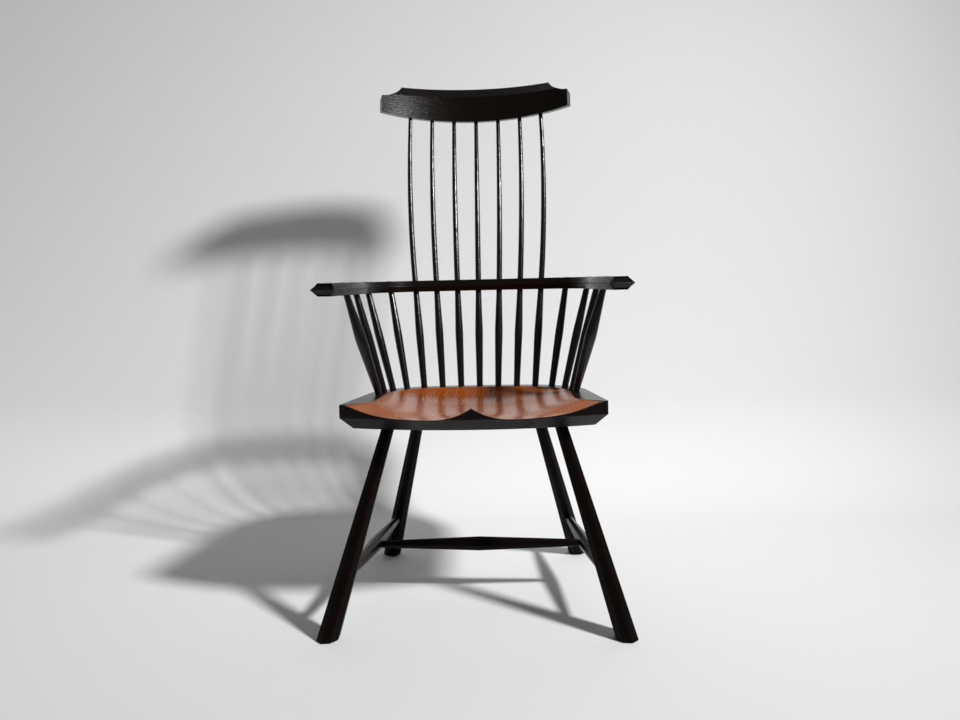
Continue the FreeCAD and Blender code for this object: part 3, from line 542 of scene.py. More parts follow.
# %% Depth of the saddle
SADDLE_DEPTH = 27 * MM
SADDLE_HALF_WIDTH = 198 * MM
SADDLE_MOUTH_FLARE = 52 * MM
SADDLE_MIDDLE = 155 * MM
SADDLE_BACK_MARGIN = 42 * MM
SADDLE_BACK = SEAT_DEPTH - SADDLE_BACK_MARGIN
POMMEL_HEIGHT = 23 * MM
POMMEL_HALF_WIDTH = 95 * MM
POMMEL_LENGTH = 150 * MM
CORNER_MARGIN = 6 * MM
FLARE_POWER = 10
BOWL_POWER = 3
LOBE_POWER = 4
FADE_POWER = 2
RIDGE_POWER = 2.9


def saddle_depth(x, y):
    """Depth below the deck, negative outside the hollow."""
    x = abs(x)
    flare = SADDLE_MOUTH_FLARE * (max(0, SADDLE_MIDDLE - y) / SADDLE_MIDDLE) ** FLARE_POWER
    side = (x / (SADDLE_HALF_WIDTH + flare)) ** BOWL_POWER
    back = (max(0, y - SADDLE_MIDDLE) / (SADDLE_BACK - SADDLE_MIDDLE)) ** BOWL_POWER
    lobe = 1 - (x / (seat_corner + CORNER_MARGIN)) ** LOBE_POWER
    bowl = SADDLE_DEPTH * lobe * (1 - side - back)
    fade = max(0, 1 - (y + SEAT_FRONT_BOW) / POMMEL_LENGTH) ** FADE_POWER
    ridge = max(0, 1 - x / POMMEL_HALF_WIDTH) ** RIDGE_POWER
    return bowl - POMMEL_HEIGHT * ridge * fade


print("depth at the middle of the saddle: %.1f mm" % (saddle_depth(0, SADDLE_MIDDLE) / MM))

# %% Web of the seat
WEB_CENTRE = (0, 150 * MM)
SADDLE_RINGS = 62
DECK_RINGS = 12
RIM_ANGLES = (30, 60, 90)
ARRIS = 0.8 * MM
RING_SPREAD = 0.1
SEARCH_START = 30
SEARCH_STEPS = 100


def spoke_point(end, share):
    """Place at a share of the way from the middle of the web to the end of a spoke."""
    return tuple(WEB_CENTRE[axis] + (end[axis] - WEB_CENTRE[axis]) * share for axis in (0, 1))


def saddle_share(end):
    """Share of one spoke at which the hollow rises to the deck, or 1 where it runs out of the front."""

    def depth(share):
        return saddle_depth(*spoke_point(end, share))

    low = SEARCH_START / SEARCH_STEPS
    for step in range(SEARCH_START + 1, SEARCH_STEPS + 1):
        high = step / SEARCH_STEPS
        if depth(high) < 0:
            return last_inside(low, high, lambda share: depth(share) > 0)
        low = high
    return 1.0


top_outline = whole_outline(SEAT_RIM)
shares = [saddle_share(end) for end in top_outline]
rings = []
for ring in range(1, SADDLE_RINGS + 1):
    row = []
    for end, share in zip(top_outline, shares):
        x, y = spoke_point(end, share * ring / SADDLE_RINGS)
        row.append((x, y, -max(0, saddle_depth(x, y))))
    rings.append(row)
for ring in range(1, DECK_RINGS + 1):
    row = []
    for end, share in zip(top_outline, shares):
        x, y = spoke_point(end, share + (1 - share) * ring / DECK_RINGS)
        row.append((x, y, rings[SADDLE_RINGS - 1][len(row)][2]))
    rings.append(row)
rim_heights = [point[2] for point in rings[-1]]
for angle in RIM_ANGLES:
    turn = math.radians(angle)
    edge = whole_outline(SEAT_RIM * (1 - math.sin(turn)))
    rings.append([(x, y, z - SEAT_RIM * (1 - math.cos(turn))) for (x, y), z in zip(edge, rim_heights)])
side_foot = SEAT_BEVEL - SEAT_THICKNESS
for inset, drop in (
    (0, -ARRIS),
    (ARRIS / 2, ARRIS / 2),
    (SEAT_BEVEL - ARRIS / 2, SEAT_BEVEL - ARRIS / 2),
    (SEAT_BEVEL + ARRIS, SEAT_BEVEL),
):
    edge = whole_outline(inset)
    lowest_start = [z - SEAT_RIM - (drop + ARRIS) * RING_SPREAD for z in rim_heights]
    rings.append([(x, y, min(side_foot - drop, start)) for (x, y), start in zip(edge, lowest_start)])

seat_points = [Vector((WEB_CENTRE[0], WEB_CENTRE[1], -saddle_depth(*WEB_CENTRE)))]
for row in rings:
    seat_points += [Vector(point) for point in row]
seat_faces = [(0, 1 + side, 1 + (side + 1) % outline_count) for side in range(outline_count)]
for ring in range(len(rings) - 1):
    low, high = 1 + ring * outline_count, 1 + (ring + 1) * outline_count
    for side in range(outline_count):
        after = (side + 1) % outline_count
        seat_faces.append((low + side, high + side, high + after, low + after))
last = 1 + (len(rings) - 1) * outline_count
seat_faces.append(tuple(last + side for side in range(outline_count)))
seat = make_piece(
    "seat_plank",
    [seat_frame @ point for point in seat_points],
    seat_faces,
    seat_points,
    [saddle_wood, waxed],
    ["seat"],
)
print("web of the seat:", len(rings), "rings of", outline_count)

# %% [markdown]
# The web's first rings are the bare saddle and the rest is stained. Where the hollow runs out of the
# front there is no deck, so those rings fall on one another and are merged. Two edges stay sharp: the
# line round the hollow, and the ridge between the lobes as far as it stands up.

# %% Saddle and deck
POMMEL_SHARP_SHARE = 0.6
SEAT_WELD = 0.02 * MM

web = bmesh.new()
web.from_mesh(seat.data)
web.verts.ensure_lookup_table()
web.faces.ensure_lookup_table()
saddle_faces = outline_count * SADDLE_RINGS
for index, face in enumerate(web.faces):
    face.material_index = 0 if index < saddle_faces else 1
front_spoke = SIDE_STEPS + FRONT_STEPS
pommel_fades = POMMEL_SHARP_SHARE * POMMEL_LENGTH - SEAT_FRONT_BOW
saddle_ring = range(1 + (SADDLE_RINGS - 1) * outline_count, 1 + SADDLE_RINGS * outline_count)
edge_points = {web.verts[index] for index in saddle_ring}
ridge_points = {
    web.verts[1 + ring * outline_count + front_spoke]
    for ring in range(SADDLE_RINGS)
    if rings[ring][front_spoke][1] < pommel_fades
}
for edge in web.edges:
    ends = set(edge.verts)
    if ends <= edge_points or ends <= ridge_points:
        edge.smooth = False
weld(web, seat.data, SEAT_WELD)
even = seat.modifiers.new("even_shading", "WEIGHTED_NORMAL")
even.keep_sharp = True
print("seat faces:", len(seat.data.polygons))

# %% [markdown]
# ## Legs and stretchers
#
# Each leg is planed to eight flats, thick at the floor and thin at the seat, with one flat facing
# forward. The stretchers are eight-sided too, but thick in the middle and set with an arris on top. A
# cylinder with eight sides would not do, because every leg leans two ways and is cut level with the
# floor, so each arris is a line of its own that is followed down to Z = 0.

# %% Eight-sided bars
FLATS = 8
HALF_FLAT = math.pi / FLATS
RUNS_FORWARD = 0.9
ARRIS_WIDTH = 0.9 * MM


def eight_corners(centre, axis, toward, width, turn=0):
    """Corners round an axis, the first toward a direction or turned from it."""
    first, second = square_axes(axis, toward)
    reach = width / 2 / math.cos(HALF_FLAT)
    angles = [2 * HALF_FLAT * corner + turn for corner in range(FLATS)]
    return [centre + (first * math.cos(a) + second * math.sin(a)) * reach for a in angles]


def bar_grain(rings, axis, start, shift):
    """Grain place of every point of a bar: along its axis, and across it both ways."""
    first, second = square_axes(axis, FRONT if abs(axis.y) < RUNS_FORWARD else UP)
    places = []
    for ring in rings:
        for point in ring:
            away = point - start
            places.append((away.dot(axis) + shift, away.dot(first) + shift, away.dot(second)))
    return places


def make_bar(name, rings, axis, shift, finish):
    """Bar with a flat between each two corners of its rings."""
    points = [point for ring in rings for point in ring]
    grain = bar_grain(rings, axis, rings[0][0], shift)
    faces = tube_faces(len(rings), FLATS)
    bar = make_piece(f"planed_{name}", points, faces, grain, [finish], [name])
    soften_arrises(bar, ARRIS_WIDTH)


# %% Legs
LEG_FOOT_WIDTH = 40 * MM
LEG_TOP_WIDTH = 23 * MM
LEG_RUN_PAST = 12 * MM
FOOT_BEVEL = 2.2 * MM
LEG_GRAIN_STEP = 0.31
LEG_PLACES = {
    "front": {"half_spread": 168 * MM, "inset": 37 * MM, "splay": 110.5 * MM, "rake": -110.8 * MM},
    "rear": {"half_spread": 129 * MM, "inset": SEAT_DEPTH - 142 * MM, "splay": 97 * MM, "rake": 138.8 * MM},
}
SIDES = {"left": 1, "right": -1}


def arris_at(low, high, height):
    """Point at a height on the arris from one corner to another."""
    return low + (high - low) * ((height - low.z) / (high.z - low.z))


leg_lines = {}
for end, place in LEG_PLACES.items():
    for side_name, side in SIDES.items():
        top = seat_frame @ Vector((side * place["half_spread"], place["inset"], -SEAT_THICKNESS))
        foot = Vector((top.x + side * place["splay"], top.y + place["rake"], 0))
        axis = (top - foot).normalized()
        leg_lines[end, side_name] = (foot, axis)
        low = eight_corners(foot - axis * LEG_RUN_PAST, axis, FRONT, LEG_FOOT_WIDTH, HALF_FLAT)
        high = eight_corners(top + axis * LEG_RUN_PAST, axis, FRONT, LEG_TOP_WIDTH, HALF_FLAT)
        tread = [arris_at(a, b, 0) for a, b in zip(low, high)]
        centre = sum(tread, Vector()) / len(tread)
        share = 1 - FOOT_BEVEL / (LEG_FOOT_WIDTH / 2)
        worn = [centre + (point - centre) * share for point in tread]
        lifted = [arris_at(a, b, FOOT_BEVEL) for a, b in zip(low, high)]
        shift = len(leg_lines) * LEG_GRAIN_STEP
        make_bar(f"leg_{end}_{side_name}", [worn, lifted, high], axis, shift, dull)
print("legs made:", len(leg_lines))

# %% Stretchers
STRETCHER_HEIGHT = 105 * MM
STRETCHER_END = 13.5 * MM
SIDE_BELLY = 28 * MM
MEDIAL_BELLY = 29 * MM
SIDE_STRETCHER_GRAIN = 2
MEDIAL_GRAIN = 4.4


def leg_at(line, height):
    """Point at a height on the middle line of a leg."""
    foot, axis = line
    return foot + axis * (height / axis.z)


def make_stretcher(name, start, end, belly, shift, finish):
    """Makes a bar that is thickest halfway, and gives back its middle."""
    axis = (end - start).normalized()
    middle = (start + end) / 2
    stations = ((start, STRETCHER_END), (middle, belly), (end, STRETCHER_END))
    rings = [eight_corners(point, axis, UP, width) for point, width in stations]
    make_bar(name, rings, axis, shift, finish)
    return middle


side_middles = {}
for number, side_name in enumerate(SIDES):
    start = leg_at(leg_lines["front", side_name], STRETCHER_HEIGHT)
    end = leg_at(leg_lines["rear", side_name], STRETCHER_HEIGHT)
    name = f"side_stretcher_{side_name}"
    shift = SIDE_STRETCHER_GRAIN + number
    side_middles[side_name] = make_stretcher(name, start, end, SIDE_BELLY, shift, waxed)
make_stretcher("medial_stretcher", *side_middles.values(), MEDIAL_BELLY, MEDIAL_GRAIN, dull)
print("H stretcher made at %.0f mm" % (STRETCHER_HEIGHT / MM))

# %% [markdown]
# ## Sticks
#
# The sticks are shaved, not turned: straight tapers from the seat to a belly under the arm and from there
# to the top. The one under each hand, which takes the most weight, has the thickest belly. The tall ones go
# on through the arm and bend back inward to the comb. A stick is a chain of round sections along its line,
# and the short ones are cut off level, a hair above the arm's top.

# %% Lines of the sticks
STICK_INSET = 29 * MM
STICK_SPACING_SEAT = 43.5 * MM
STICK_SPACING_ARM_BACK = 49.8 * MM
STICK_START_ARM_SIDE = 62 * MM
STICK_SPACING_ARM_SIDE = 70 * MM
STICK_SPACING_COMB = 53.7 * MM
BACK_STICKS_EACH_SIDE = 3
ARM_STICKS_EACH_SIDE = 4


def stick_line(side, seat_distance, arm_distance):
    """Foot on the deck and place in the middle of the arm."""
    x, y, _ = seat_bow(STICK_INSET).at(seat_distance)
    foot = seat_frame @ Vector((side * x, y, 0))
    x, y, heading = arm_line.at(arm_distance)
    grain = Vector((side * math.cos(heading), -math.sin(heading), 0))
    return foot, Vector((side * x, y, arm_middle_height)), grain


back_lines = {}
for index in range(-BACK_STICKS_EACH_SIDE, BACK_STICKS_EACH_SIDE + 1):
    name = f"back_stick_{BACK_STICKS_EACH_SIDE + 1 - index}"
    side = math.copysign(1, index)
    line = stick_line(side, abs(index) * STICK_SPACING_SEAT, abs(index) * STICK_SPACING_ARM_BACK)
    back_lines[name] = (index, *line)
arm_stick_lines = {}
first_arm_stick = BACK_STICKS_EACH_SIDE * STICK_SPACING_ARM_BACK + STICK_START_ARM_SIDE
for side_name, side in SIDES.items():
    for number in range(1, ARM_STICKS_EACH_SIDE + 1):
        seat_distance = (BACK_STICKS_EACH_SIDE + number) * STICK_SPACING_SEAT
        arm_distance = first_arm_stick + (number - 1) * STICK_SPACING_ARM_SIDE
        arm_stick_lines[f"arm_stick_{side_name}_{number}"] = stick_line(side, seat_distance, arm_distance)

COMB_FOOT_HEIGHT = 1041 * MM
COMB_RADIUS = 368 * MM
_, middle_foot, middle_arm, _ = back_lines[f"back_stick_{BACK_STICKS_EACH_SIDE + 1}"]
middle_line = (middle_arm - middle_foot).normalized()
comb_foot = middle_foot + middle_line * ((COMB_FOOT_HEIGHT - middle_foot.z) / middle_line.z)
comb_lean = math.atan2(middle_line.y, middle_line.z)
comb_frame = Matrix.Translation(comb_foot) @ Matrix.Rotation(-comb_lean, 4, "X")
print("back leans %.1f degrees" % math.degrees(comb_lean))

# %% Shape of a stick
STICK_ROUND = 20
SEAT_END = 14.6 * MM
BELLY = 18.8 * MM
FRONT_BELLY = 25 * MM
ARM_END = 13.6 * MM
MIDDLE = 12.2 * MM
COMB_END = 9.4 * MM
BELLY_SHARE = 0.56
STRAIGHT_PAST = 6 * MM
STATION_STEP = 12 * MM
FEWEST_STATIONS = 8
EASE = 9 * MM
EASE_STEPS = (-1, -0.5, 0, 0.5, 1)
STICK_SHARP_ANGLE = math.radians(40)


def taper(distance, stations):
    """Diameter at a distance, straight between the stations."""
    for (start, first), (end, last) in zip(stations, stations[1:]):
        if distance <= end:
            return first + (last - first) * max(0, distance - start) / (end - start)
    return stations[-1][1]


def eased_taper(distance, stations):
    """Taper with its corners eased, as a scraper leaves them."""
    return sum(taper(distance + EASE * step, stations) for step in EASE_STEPS) / len(EASE_STEPS)


def make_stick(name, line_at, length, stations, shift, cut_height=None):
    """Chain of round sections along a line, cut level at a height if there is one."""
    rings = []
    grain = []
    count = max(FEWEST_STATIONS, round(length / STATION_STEP))
    for step in range(count + 1):
        distance = length * step / count
        centre, axis = line_at(distance)
        first, second = square_axes(axis, FRONT)
        radius = eased_taper(distance, stations) / 2
        for corner in range(STICK_ROUND):
            turn = 2 * math.pi * corner / STICK_ROUND
            across, through = radius * math.cos(turn), radius * math.sin(turn)
            point = centre + first * across + second * through
            if step == count and cut_height is not None:
                point += axis * ((cut_height - point.z) / axis.z)
            rings.append(point)
            grain.append((distance + shift, across + shift, through))
    faces = tube_faces(count + 1, STICK_ROUND)
    stick = make_piece(f"shaved_{name}", rings, faces, grain, [burnished], [name])
    stick.data.set_sharp_from_angle(angle=STICK_SHARP_ANGLE)


# %% Short sticks
SEAT_REACH = 20 * MM
STICK_PROUD = 0.3 * MM
SHORT_GRAIN = 6
SHORT_GRAIN_STEP = 0.27


def straight_line(start, line):
    """Line that gives a point and its direction at any distance from a start."""
    return lambda distance: (start + line * distance, line)


def lower_stations(below_arm, belly):
    """Diameters of a stick from its end in the seat, past its belly, to the arm."""
    return [
        (0, SEAT_END),
        (SEAT_REACH + STRAIGHT_PAST, SEAT_END),
        (SEAT_REACH + BELLY_SHARE * below_arm, belly),
        (SEAT_REACH + below_arm - STRAIGHT_PAST, ARM_END),
    ]


for number, (name, (foot, arm, _)) in enumerate(arm_stick_lines.items()):
    line = (arm - foot).normalized()
    start = foot - line * SEAT_REACH
    below_arm = (arm - foot).length - ARM_THICKNESS / 2 / line.z
    length = SEAT_REACH + below_arm + ARM_THICKNESS / line.z
    at_hand = (number + 1) % ARM_STICKS_EACH_SIDE == 0
    stations = lower_stations(below_arm, FRONT_BELLY if at_hand else BELLY)
    shift = SHORT_GRAIN + number * SHORT_GRAIN_STEP
    make_stick(name, straight_line(start, line), length, stations, shift, ARM_TOP + STICK_PROUD)
print("short sticks:", len(arm_stick_lines))

# %% Tall sticks
COMB_REACH = 30 * MM
TALL_GRAIN = 9
TALL_GRAIN_STEP = 0.33
NO_TURN = 1e-5


def comb_point(angle, depth, height):
    """Point of the comb: an angle along its curve, a depth behind its middle surface."""
    reach = COMB_RADIUS + depth
    return comb_frame @ Vector((reach * math.sin(angle), reach * math.cos(angle) - COMB_RADIUS, height))


def bent_line(foot, line, straight_length, end):
    """Line that is straight at first and then follows one arc to an end point."""
    start = foot + line * straight_length
    chord = end - start
    aside = chord - line * chord.dot(line)
    turn = 2 * math.asin(min(1, aside.length / chord.length))
    if turn < NO_TURN:
        return straight_line(foot, line), straight_length + chord.length
    radius = chord.length / 2 / math.sin(turn / 2)
    inward = aside.normalized()
    arc_length = radius * turn

    def at(distance):
        if distance <= straight_length:
            return foot + line * distance, line
        angle = min(distance - straight_length, arc_length) / radius
        heading = line * math.cos(angle) + inward * math.sin(angle)
        point = start + (line * math.sin(angle) + inward * (1 - math.cos(angle))) * radius
        return point + heading * max(0, distance - straight_length - arc_length), heading

    return at, straight_length + arc_length


stick_tops = {}
for number, (name, (index, foot, arm, _)) in enumerate(back_lines.items()):
    line = (arm - foot).normalized()
    start = foot - line * SEAT_REACH
    below_arm = (arm - foot).length - ARM_THICKNESS / 2 / line.z
    above_arm = SEAT_REACH + below_arm + ARM_THICKNESS / line.z + STRAIGHT_PAST
    end = comb_point(index * STICK_SPACING_COMB / COMB_RADIUS, 0, 0)
    along, length = bent_line(start, line, above_arm, end)
    stick_tops[index] = along(length)
    stations = lower_stations(below_arm, BELLY)
    stations += [(above_arm, ARM_END), ((above_arm + length) / 2, MIDDLE), (length, COMB_END)]
    shift = TALL_GRAIN + number * TALL_GRAIN_STEP
    make_stick(name, along, length + COMB_REACH, stations, shift)
print("tall sticks:", len(back_lines))

# %% [markdown]
# ## The arm
#
# The arm is one bent rail that runs from hand to hand behind the sitter. Its section has six sides: flat
# on top and below, with a ridge along the outside at mid height and a steeper one inside. Sweeping that
# section along the bow keeps the ridges clean, and pulling the last section back above and below the
# ridge gives the hands their two end facets.

# %% Arm rail
ARM_WIDTH = 48 * MM
ARM_OUTER_BEVEL = 13 * MM
ARM_INNER_BEVEL = 7 * MM
ARM_END_BEVEL = 12 * MM
ARM_ARRIS = 1.0 * MM
ARM_STATIONS = 150
ARM_GRAIN = 14
HAND_FACETS = ((0, 1, 2, 3), (3, 4, 5, 0))

half_width, half_height = ARM_WIDTH / 2, ARM_THICKNESS / 2
arm_section = [
    (half_width, 0),
    (half_width - ARM_OUTER_BEVEL, half_height),
    (ARM_INNER_BEVEL - half_width, half_height),
    (-half_width, 0),
    (ARM_INNER_BEVEL - half_width, -half_height),
    (half_width - ARM_OUTER_BEVEL, -half_height),
]


def arm_point(distance, across, up):
    """Point at a distance from the middle of the back, positive to the sitter's left."""
    side = math.copysign(1, distance)
    x, y, heading = arm_line.at(abs(distance))
    outward = Vector((side * math.sin(heading), math.cos(heading), 0))
    return Vector((side * x, y, arm_middle_height + up)) + outward * across


arm_points = []
arm_grain = []
for station in range(ARM_STATIONS + 1):
    distance = arm_half_length * (2 * station / ARM_STATIONS - 1)
    for across, up in arm_section:
        back_off = ARM_END_BEVEL * abs(up) / half_height if station in (0, ARM_STATIONS) else 0
        place = distance - math.copysign(back_off, distance)
        arm_points.append(arm_point(place, across, up))
        arm_grain.append((place + ARM_GRAIN, across, up))
arm_faces = tube_faces(ARM_STATIONS + 1, len(arm_section))[:-2]
arm_faces += [tuple(reversed(facet)) for facet in HAND_FACETS]
arm_faces += shifted(HAND_FACETS, ARM_STATIONS * len(arm_section))
arm = make_piece("arm_rail", arm_points, arm_faces, arm_grain, [waxed], ["arm_bow"])
soften_arrises(arm, ARM_ARRIS)
print("arm stations:", ARM_STATIONS + 1)

# %% [markdown]
# ## The comb
#
# The comb is a board sawn to a curve in plan, so it wraps the sitter's shoulders. Its underside rises a
# little to the back, its top is slightly arched, and each end steps down through a small cove and is
# turned to the front. A wide facet along the top makes it look light. Each slice across the board has the
# same five corners, so slices at many places along it make a tidy skin.

# %% Comb board
COMB_THICKNESS = 25 * MM
COMB_HEIGHT = 88 * MM
COMB_UNDER_RISE = 8 * MM
COMB_SHOULDER_HEIGHT = 78 * MM
COMB_END_HEIGHT = 40 * MM
COMB_END_OVERHANG = 69 * MM
COMB_END_TURN = math.radians(20)
COMB_COVE = 49 * MM
COMB_FACET_HEIGHT = 25 * MM
COMB_FACET_DEPTH = 13 * MM
COMB_GRAIN = 17
ARCH_SLICES = 30
FACET_SLICES = 14
END_SLICES = 5
SLICE_CORNERS = 5
FACET_SEARCH = 0.1 * MM
COMB_WELD = 0.05 * MM
COMB_ARRIS = 0.9 * MM
COMB_ARRIS_ANGLE = 22

outer_stick = COMB_RADIUS * math.sin(BACK_STICKS_EACH_SIDE * STICK_SPACING_COMB / COMB_RADIUS)
comb_half = outer_stick + COMB_END_OVERHANG
comb_shoulder = comb_half - COMB_COVE
arch_fall = COMB_HEIGHT - COMB_SHOULDER_HEIGHT
arch_radius = (comb_shoulder**2 + arch_fall**2) / 2 / arch_fall
cove_drop = COMB_SHOULDER_HEIGHT - COMB_END_HEIGHT
cove_radius = (COMB_COVE**2 + cove_drop**2) / 2 / cove_drop


def arch_height(x):
    """Height of the arch, as if it ran on past the shoulders."""
    return COMB_HEIGHT - arch_radius + math.sqrt(arch_radius**2 - x**2)


def top_height(x):
    """Height of the top edge, with the cove at each end."""
    if abs(x) <= comb_shoulder:
        return arch_height(x)
    return COMB_END_HEIGHT + cove_radius - math.sqrt(cove_radius**2 - (comb_half - abs(x)) ** 2)


def comb_depth(x, depth):
    """Place of a surface of the board at x, a depth behind its front."""
    return math.sqrt((COMB_RADIUS - COMB_THICKNESS / 2 + depth) ** 2 - x**2) - COMB_RADIUS


def turned(x, depth):
    """Place along the comb of one slice's point, as the slices turn toward the ends."""
    share = max(0, abs(x) - comb_shoulder) / COMB_COVE
    return x - math.copysign(share * (COMB_THICKNESS - depth) * math.tan(COMB_END_TURN), x)


def facet_rise(x):
    """How far the facet goes up one slice, nothing where the cove has cut it away."""
    front = turned(x, 0)
    return max(0, top_height(front) - arch_height(front) + COMB_FACET_HEIGHT)


def even_places(start, end, count):
    """Even places after a start, up to an end."""
    return [start + (end - start) * step / count for step in range(1, count + 1)]


facet_end = comb_half
while facet_rise(facet_end) <= 0:
    facet_end -= FACET_SEARCH
half_slices = even_places(0, comb_shoulder, ARCH_SLICES)
half_slices += even_places(comb_shoulder, facet_end, FACET_SLICES)
half_slices += even_places(facet_end, comb_half, END_SLICES)
slices = [-x for x in reversed(half_slices)] + [0] + half_slices
comb_points = []
comb_grain = []
for x in slices:
    rise = facet_rise(x)
    facet_depth = rise * COMB_FACET_DEPTH / COMB_FACET_HEIGHT
    for depth, height in (
        (0, 0),
        (0, top_height(turned(x, 0)) - rise),
        (facet_depth, top_height(turned(x, facet_depth))),
        (COMB_THICKNESS, top_height(x)),
        (COMB_THICKNESS, COMB_UNDER_RISE),
    ):
        place = turned(x, depth)
        comb_points.append(comb_frame @ Vector((place, comb_depth(place, depth), height)))
        comb_grain.append((place + COMB_GRAIN, height, depth))
comb_faces = tube_faces(len(slices), SLICE_CORNERS)
comb = make_piece("comb_board", comb_points, comb_faces, comb_grain, [waxed], ["comb"])
skin = bmesh.new()
skin.from_mesh(comb.data)
weld(skin, comb.data, COMB_WELD)
soften_arrises(comb, COMB_ARRIS, COMB_ARRIS_ANGLE)
print("comb length: %.0f mm" % (2 * comb_half / MM))

# %% [markdown]
# ## Wedges and pegs
#
# A wedge driven into the end of each short stick spreads it in its hole, and a few pegs behind the comb
# pin it to the sticks. They are tiny, but from above and behind they are what shows that the chair is
# joined and not moulded.

# %% Wedges in the arm
WEDGE_WIDTH = 11.6 * MM
WEDGE_TOP = 3.2 * MM
WEDGE_DEPTH = 8 * MM
WEDGE_LOW = 1.92 * MM
WEDGE_PROUD = 0.6 * MM
WEDGE_ARRIS = 0.25 * MM
WEDGE_GRAIN = 20
SQUARE_CORNERS = ((-1, -1), (1, -1), (1, 1), (-1, 1))

wedge_points = []
wedge_faces = []
wedge_grain = []
for foot, arm_place, grain in arm_stick_lines.values():
    line = (arm_place - foot).normalized()
    centre = arm_place + line * (ARM_THICKNESS / 2 / line.z)
    across = UP.cross(grain)
    first = len(wedge_points)
    for height, thickness in ((-WEDGE_DEPTH, WEDGE_LOW), (WEDGE_PROUD, WEDGE_TOP)):
        for along_sign, across_sign in SQUARE_CORNERS:
            point = centre + grain * (along_sign * thickness / 2)
            point += across * (across_sign * WEDGE_WIDTH / 2)
            wedge_points.append(point + line * height)
            wedge_grain.append((height + WEDGE_GRAIN, along_sign * WEDGE_TOP, across_sign * WEDGE_WIDTH))
    wedge_faces += shifted(tube_faces(2, len(SQUARE_CORNERS)), first)
wedges = make_piece(
    "arm_wedge_ends", wedge_points, wedge_faces, wedge_grain, [waxed], ["arm_wedges"]
)
soften_arrises(wedges, WEDGE_ARRIS)
print("wedges:", len(arm_stick_lines))

# %% Pegs in the comb
PEG_RADIUS = 2.5 * MM
PEG_HEIGHT = 28 * MM
PEG_ROUND = 16
PEG_SHARP_ANGLE = math.radians(50)
PEG_GRAIN = 22
# Height above the back of the comb, and share of the radius there.
PEG_DOME = ((-6 * MM, 1.0), (0.15 * MM, 1.0), (0.45 * MM, 0.82), (0.6 * MM, 0.45))

peg_points = []
peg_faces = []
peg_grain = []
pegged = (-BACK_STICKS_EACH_SIDE, 0, BACK_STICKS_EACH_SIDE)
for index in pegged:
    entry, heading = stick_tops[index]
    crossing = comb_frame.inverted() @ (entry + heading * PEG_HEIGHT)
    angle = math.atan2(crossing.x, crossing.y + COMB_RADIUS)
    face = comb_point(angle, COMB_THICKNESS / 2, crossing.z)
    outward = (face - comb_point(angle, 0, crossing.z)).normalized()
    first, second = square_axes(outward, UP)
    start = len(peg_points)
    for height, share in PEG_DOME:
        for corner in range(PEG_ROUND):
            turn = 2 * math.pi * corner / PEG_ROUND
            across = PEG_RADIUS * share * math.cos(turn)
            through = PEG_RADIUS * share * math.sin(turn)
            peg_points.append(face + outward * height + first * across + second * through)
            peg_grain.append((height + PEG_GRAIN, across, through))
    peg_faces += shifted(tube_faces(len(PEG_DOME), PEG_ROUND), start)
pegs = make_piece(
    "comb_peg_ends", peg_points, peg_faces, peg_grain, [waxed], ["comb_pegs"]
)
pegs.data.set_sharp_from_angle(angle=PEG_SHARP_ANGLE)
print("pegs:", len(pegged))

# %% [markdown]
# ## Floor and backdrop
#
# The chair stands on a pale floor close to a pale wall that meets it in a sweep. Both are paper that only
# shows from its front, so that the chair can be seen from behind as well, and that fades away far from
# the chair, so that the far edges of the sheet don't show.

# %% Studio
WALL_BEHIND = 0.71
SWEEP_RADIUS = 0.30
WALL_HALF_WIDTH = 5.0
WALL_HEIGHT = 4.0
FLOOR_HALF = 5.0
FADE_START = 2.1
FADE_END = 4.2
SWEEP_STEPS = 24
SWEEP_LIFT = 0.5 * MM
PAPER = (0.80, 0.80, 0.80, 1)
PAPER_ROUGHNESS = 0.85
PAPER_SHINE = 0.15


def pale_paper(name):
    """Matt paper that shows only from its front and fades away far from the chair."""
    material, tree, shader = new_finish(name)
    inputs = {"Base Color": PAPER, "Roughness": PAPER_ROUGHNESS, "Specular IOR Level": PAPER_SHINE}
    feed(tree, shader, inputs)
    sheet = add_node(tree, "ShaderNodeNewGeometry", {})
    inputs = {0: sheet.outputs["Position"], 1: (1, 1, 0)}
    level = add_node(tree, "ShaderNodeVectorMath", inputs, operation="MULTIPLY")
    away = add_node(tree, "ShaderNodeVectorMath", {0: level.outputs["Vector"]}, operation="LENGTH")
    fade = range_between(tree, away.outputs["Value"], FADE_START, FADE_END, 0, 1)
    hidden = larger(tree, fade, sheet.outputs["Backfacing"])
    clear = add_node(tree, "ShaderNodeBsdfTransparent", {})
    inputs = {"Fac": hidden, 1: shader.outputs["BSDF"], 2: clear.outputs["BSDF"]}
    choice = add_node(tree, "ShaderNodeMixShader", inputs)
    feed(tree, tree.nodes["Material Output"], {"Surface": choice.outputs["Shader"]})
    return material


def make_stage(name, points, faces, material):
    """Sheet that belongs to the studio and not to the chair."""
    mesh = bpy.data.meshes.new(name)
    mesh.from_pydata(points, [], faces)
    mesh.materials.append(material)
    mesh.shade_smooth()
    sheet = bpy.data.objects.new(name, mesh)
    scene.collection.objects.link(sheet)


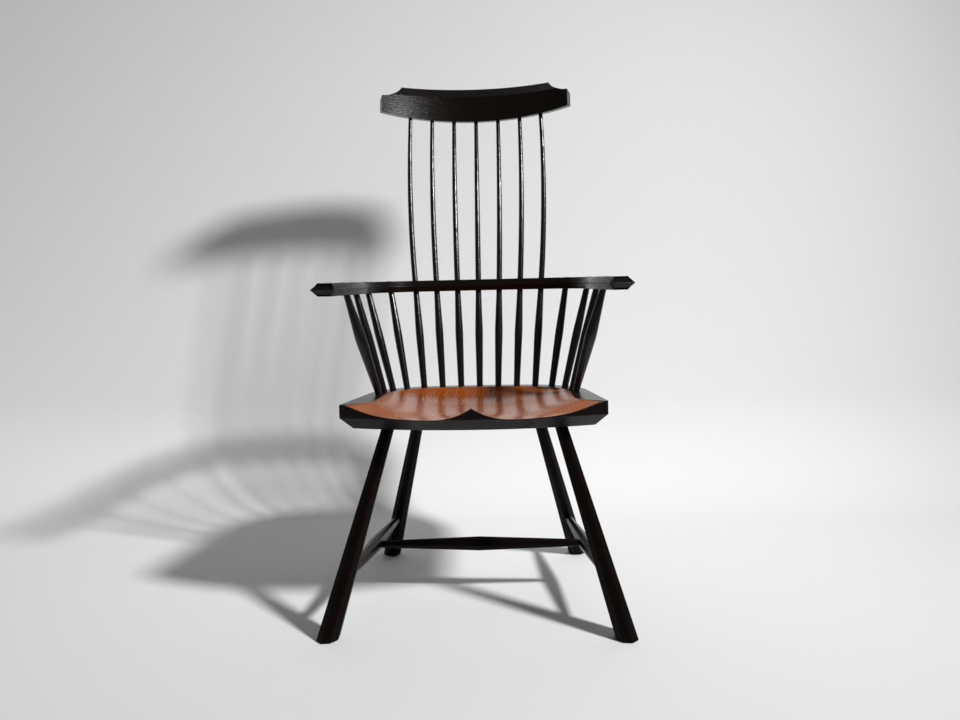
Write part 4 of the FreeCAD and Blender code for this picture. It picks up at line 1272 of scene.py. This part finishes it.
floor_points = [(x * FLOOR_HALF, y * FLOOR_HALF, 0) for x, y in SQUARE_CORNERS]
make_stage("floor", floor_points, [(0, 1, 2, 3)], pale_paper("floor_paper"))
sweep = []
for step in range(SWEEP_STEPS + 1):
    angle = math.pi / 2 * step / SWEEP_STEPS
    depth = WALL_BEHIND - SWEEP_RADIUS * (1 - math.sin(angle))
    sweep.append((depth, SWEEP_RADIUS * (1 - math.cos(angle)) + SWEEP_LIFT))
sweep.append((WALL_BEHIND, WALL_HEIGHT))
wall_points = []
for y, z in sweep:
    wall_points += [(-WALL_HALF_WIDTH, y, z), (WALL_HALF_WIDTH, y, z)]
wall_faces = [(2 * n, 2 * n + 1, 2 * n + 3, 2 * n + 2) for n in range(len(sweep) - 1)]
make_stage("wall", wall_points, wall_faces, pale_paper("wall_paper"))
print("wall behind the chair: %.0f mm" % (WALL_BEHIND / MM))

# %% [markdown]
# ## Light
#
# One soft lamp stands high at the sitter's left and throws the shadow to the other side, across the floor
# and up the wall, and its strength doesn't fall off with distance, so the sheet is lit evenly. The world
# adds a weak fill from everywhere. Rays that see it straight, by reflection or through something find a
# mid grey instead, which black wood stands out from.

# %% Lamps
LAMP_PLACE = Vector((1.383, -0.902, 1.769))
LAMP_AIM = Vector((-0.1, 0.2, 0.45))
LAMP_WIDTH = 0.26
LAMP_SPREAD = math.radians(165)
LAMP_POWER = 8.9
ROOM_FILL = 0.07
ROOM_SEEN = 0.12

lamp_data = bpy.data.lights.new("key_lamp", "AREA")
lamp_data.shape = "DISK"
lamp_data.size = LAMP_WIDTH
lamp_data.spread = LAMP_SPREAD
lamp_data.energy = LAMP_POWER
lamp_data.use_nodes = True
lamp_tree = lamp_data.node_tree
falloff = add_node(lamp_tree, "ShaderNodeLightFalloff", {"Strength": 1})
feed(lamp_tree, lamp_tree.nodes["Emission"], {"Strength": falloff.outputs["Constant"]})
lamp = bpy.data.objects.new("key_lamp", lamp_data)
lamp.location = LAMP_PLACE
lamp.rotation_euler = (LAMP_AIM - LAMP_PLACE).to_track_quat("-Z", "Y").to_euler()
scene.collection.objects.link(lamp)

world = bpy.data.worlds.new("studio")
world.use_nodes = True
sky = world.node_tree
path = add_node(sky, "ShaderNodeLightPath", {})
seen = larger(sky, path.outputs["Is Camera Ray"], path.outputs["Is Glossy Ray"])
seen = larger(sky, seen, path.outputs["Is Transmission Ray"])
strength = range_between(sky, seen, 0, 1, ROOM_FILL, ROOM_SEEN)
feed(sky, sky.nodes["Background"], {"Color": (1, 1, 1, 1), "Strength": strength})
scene.world = world
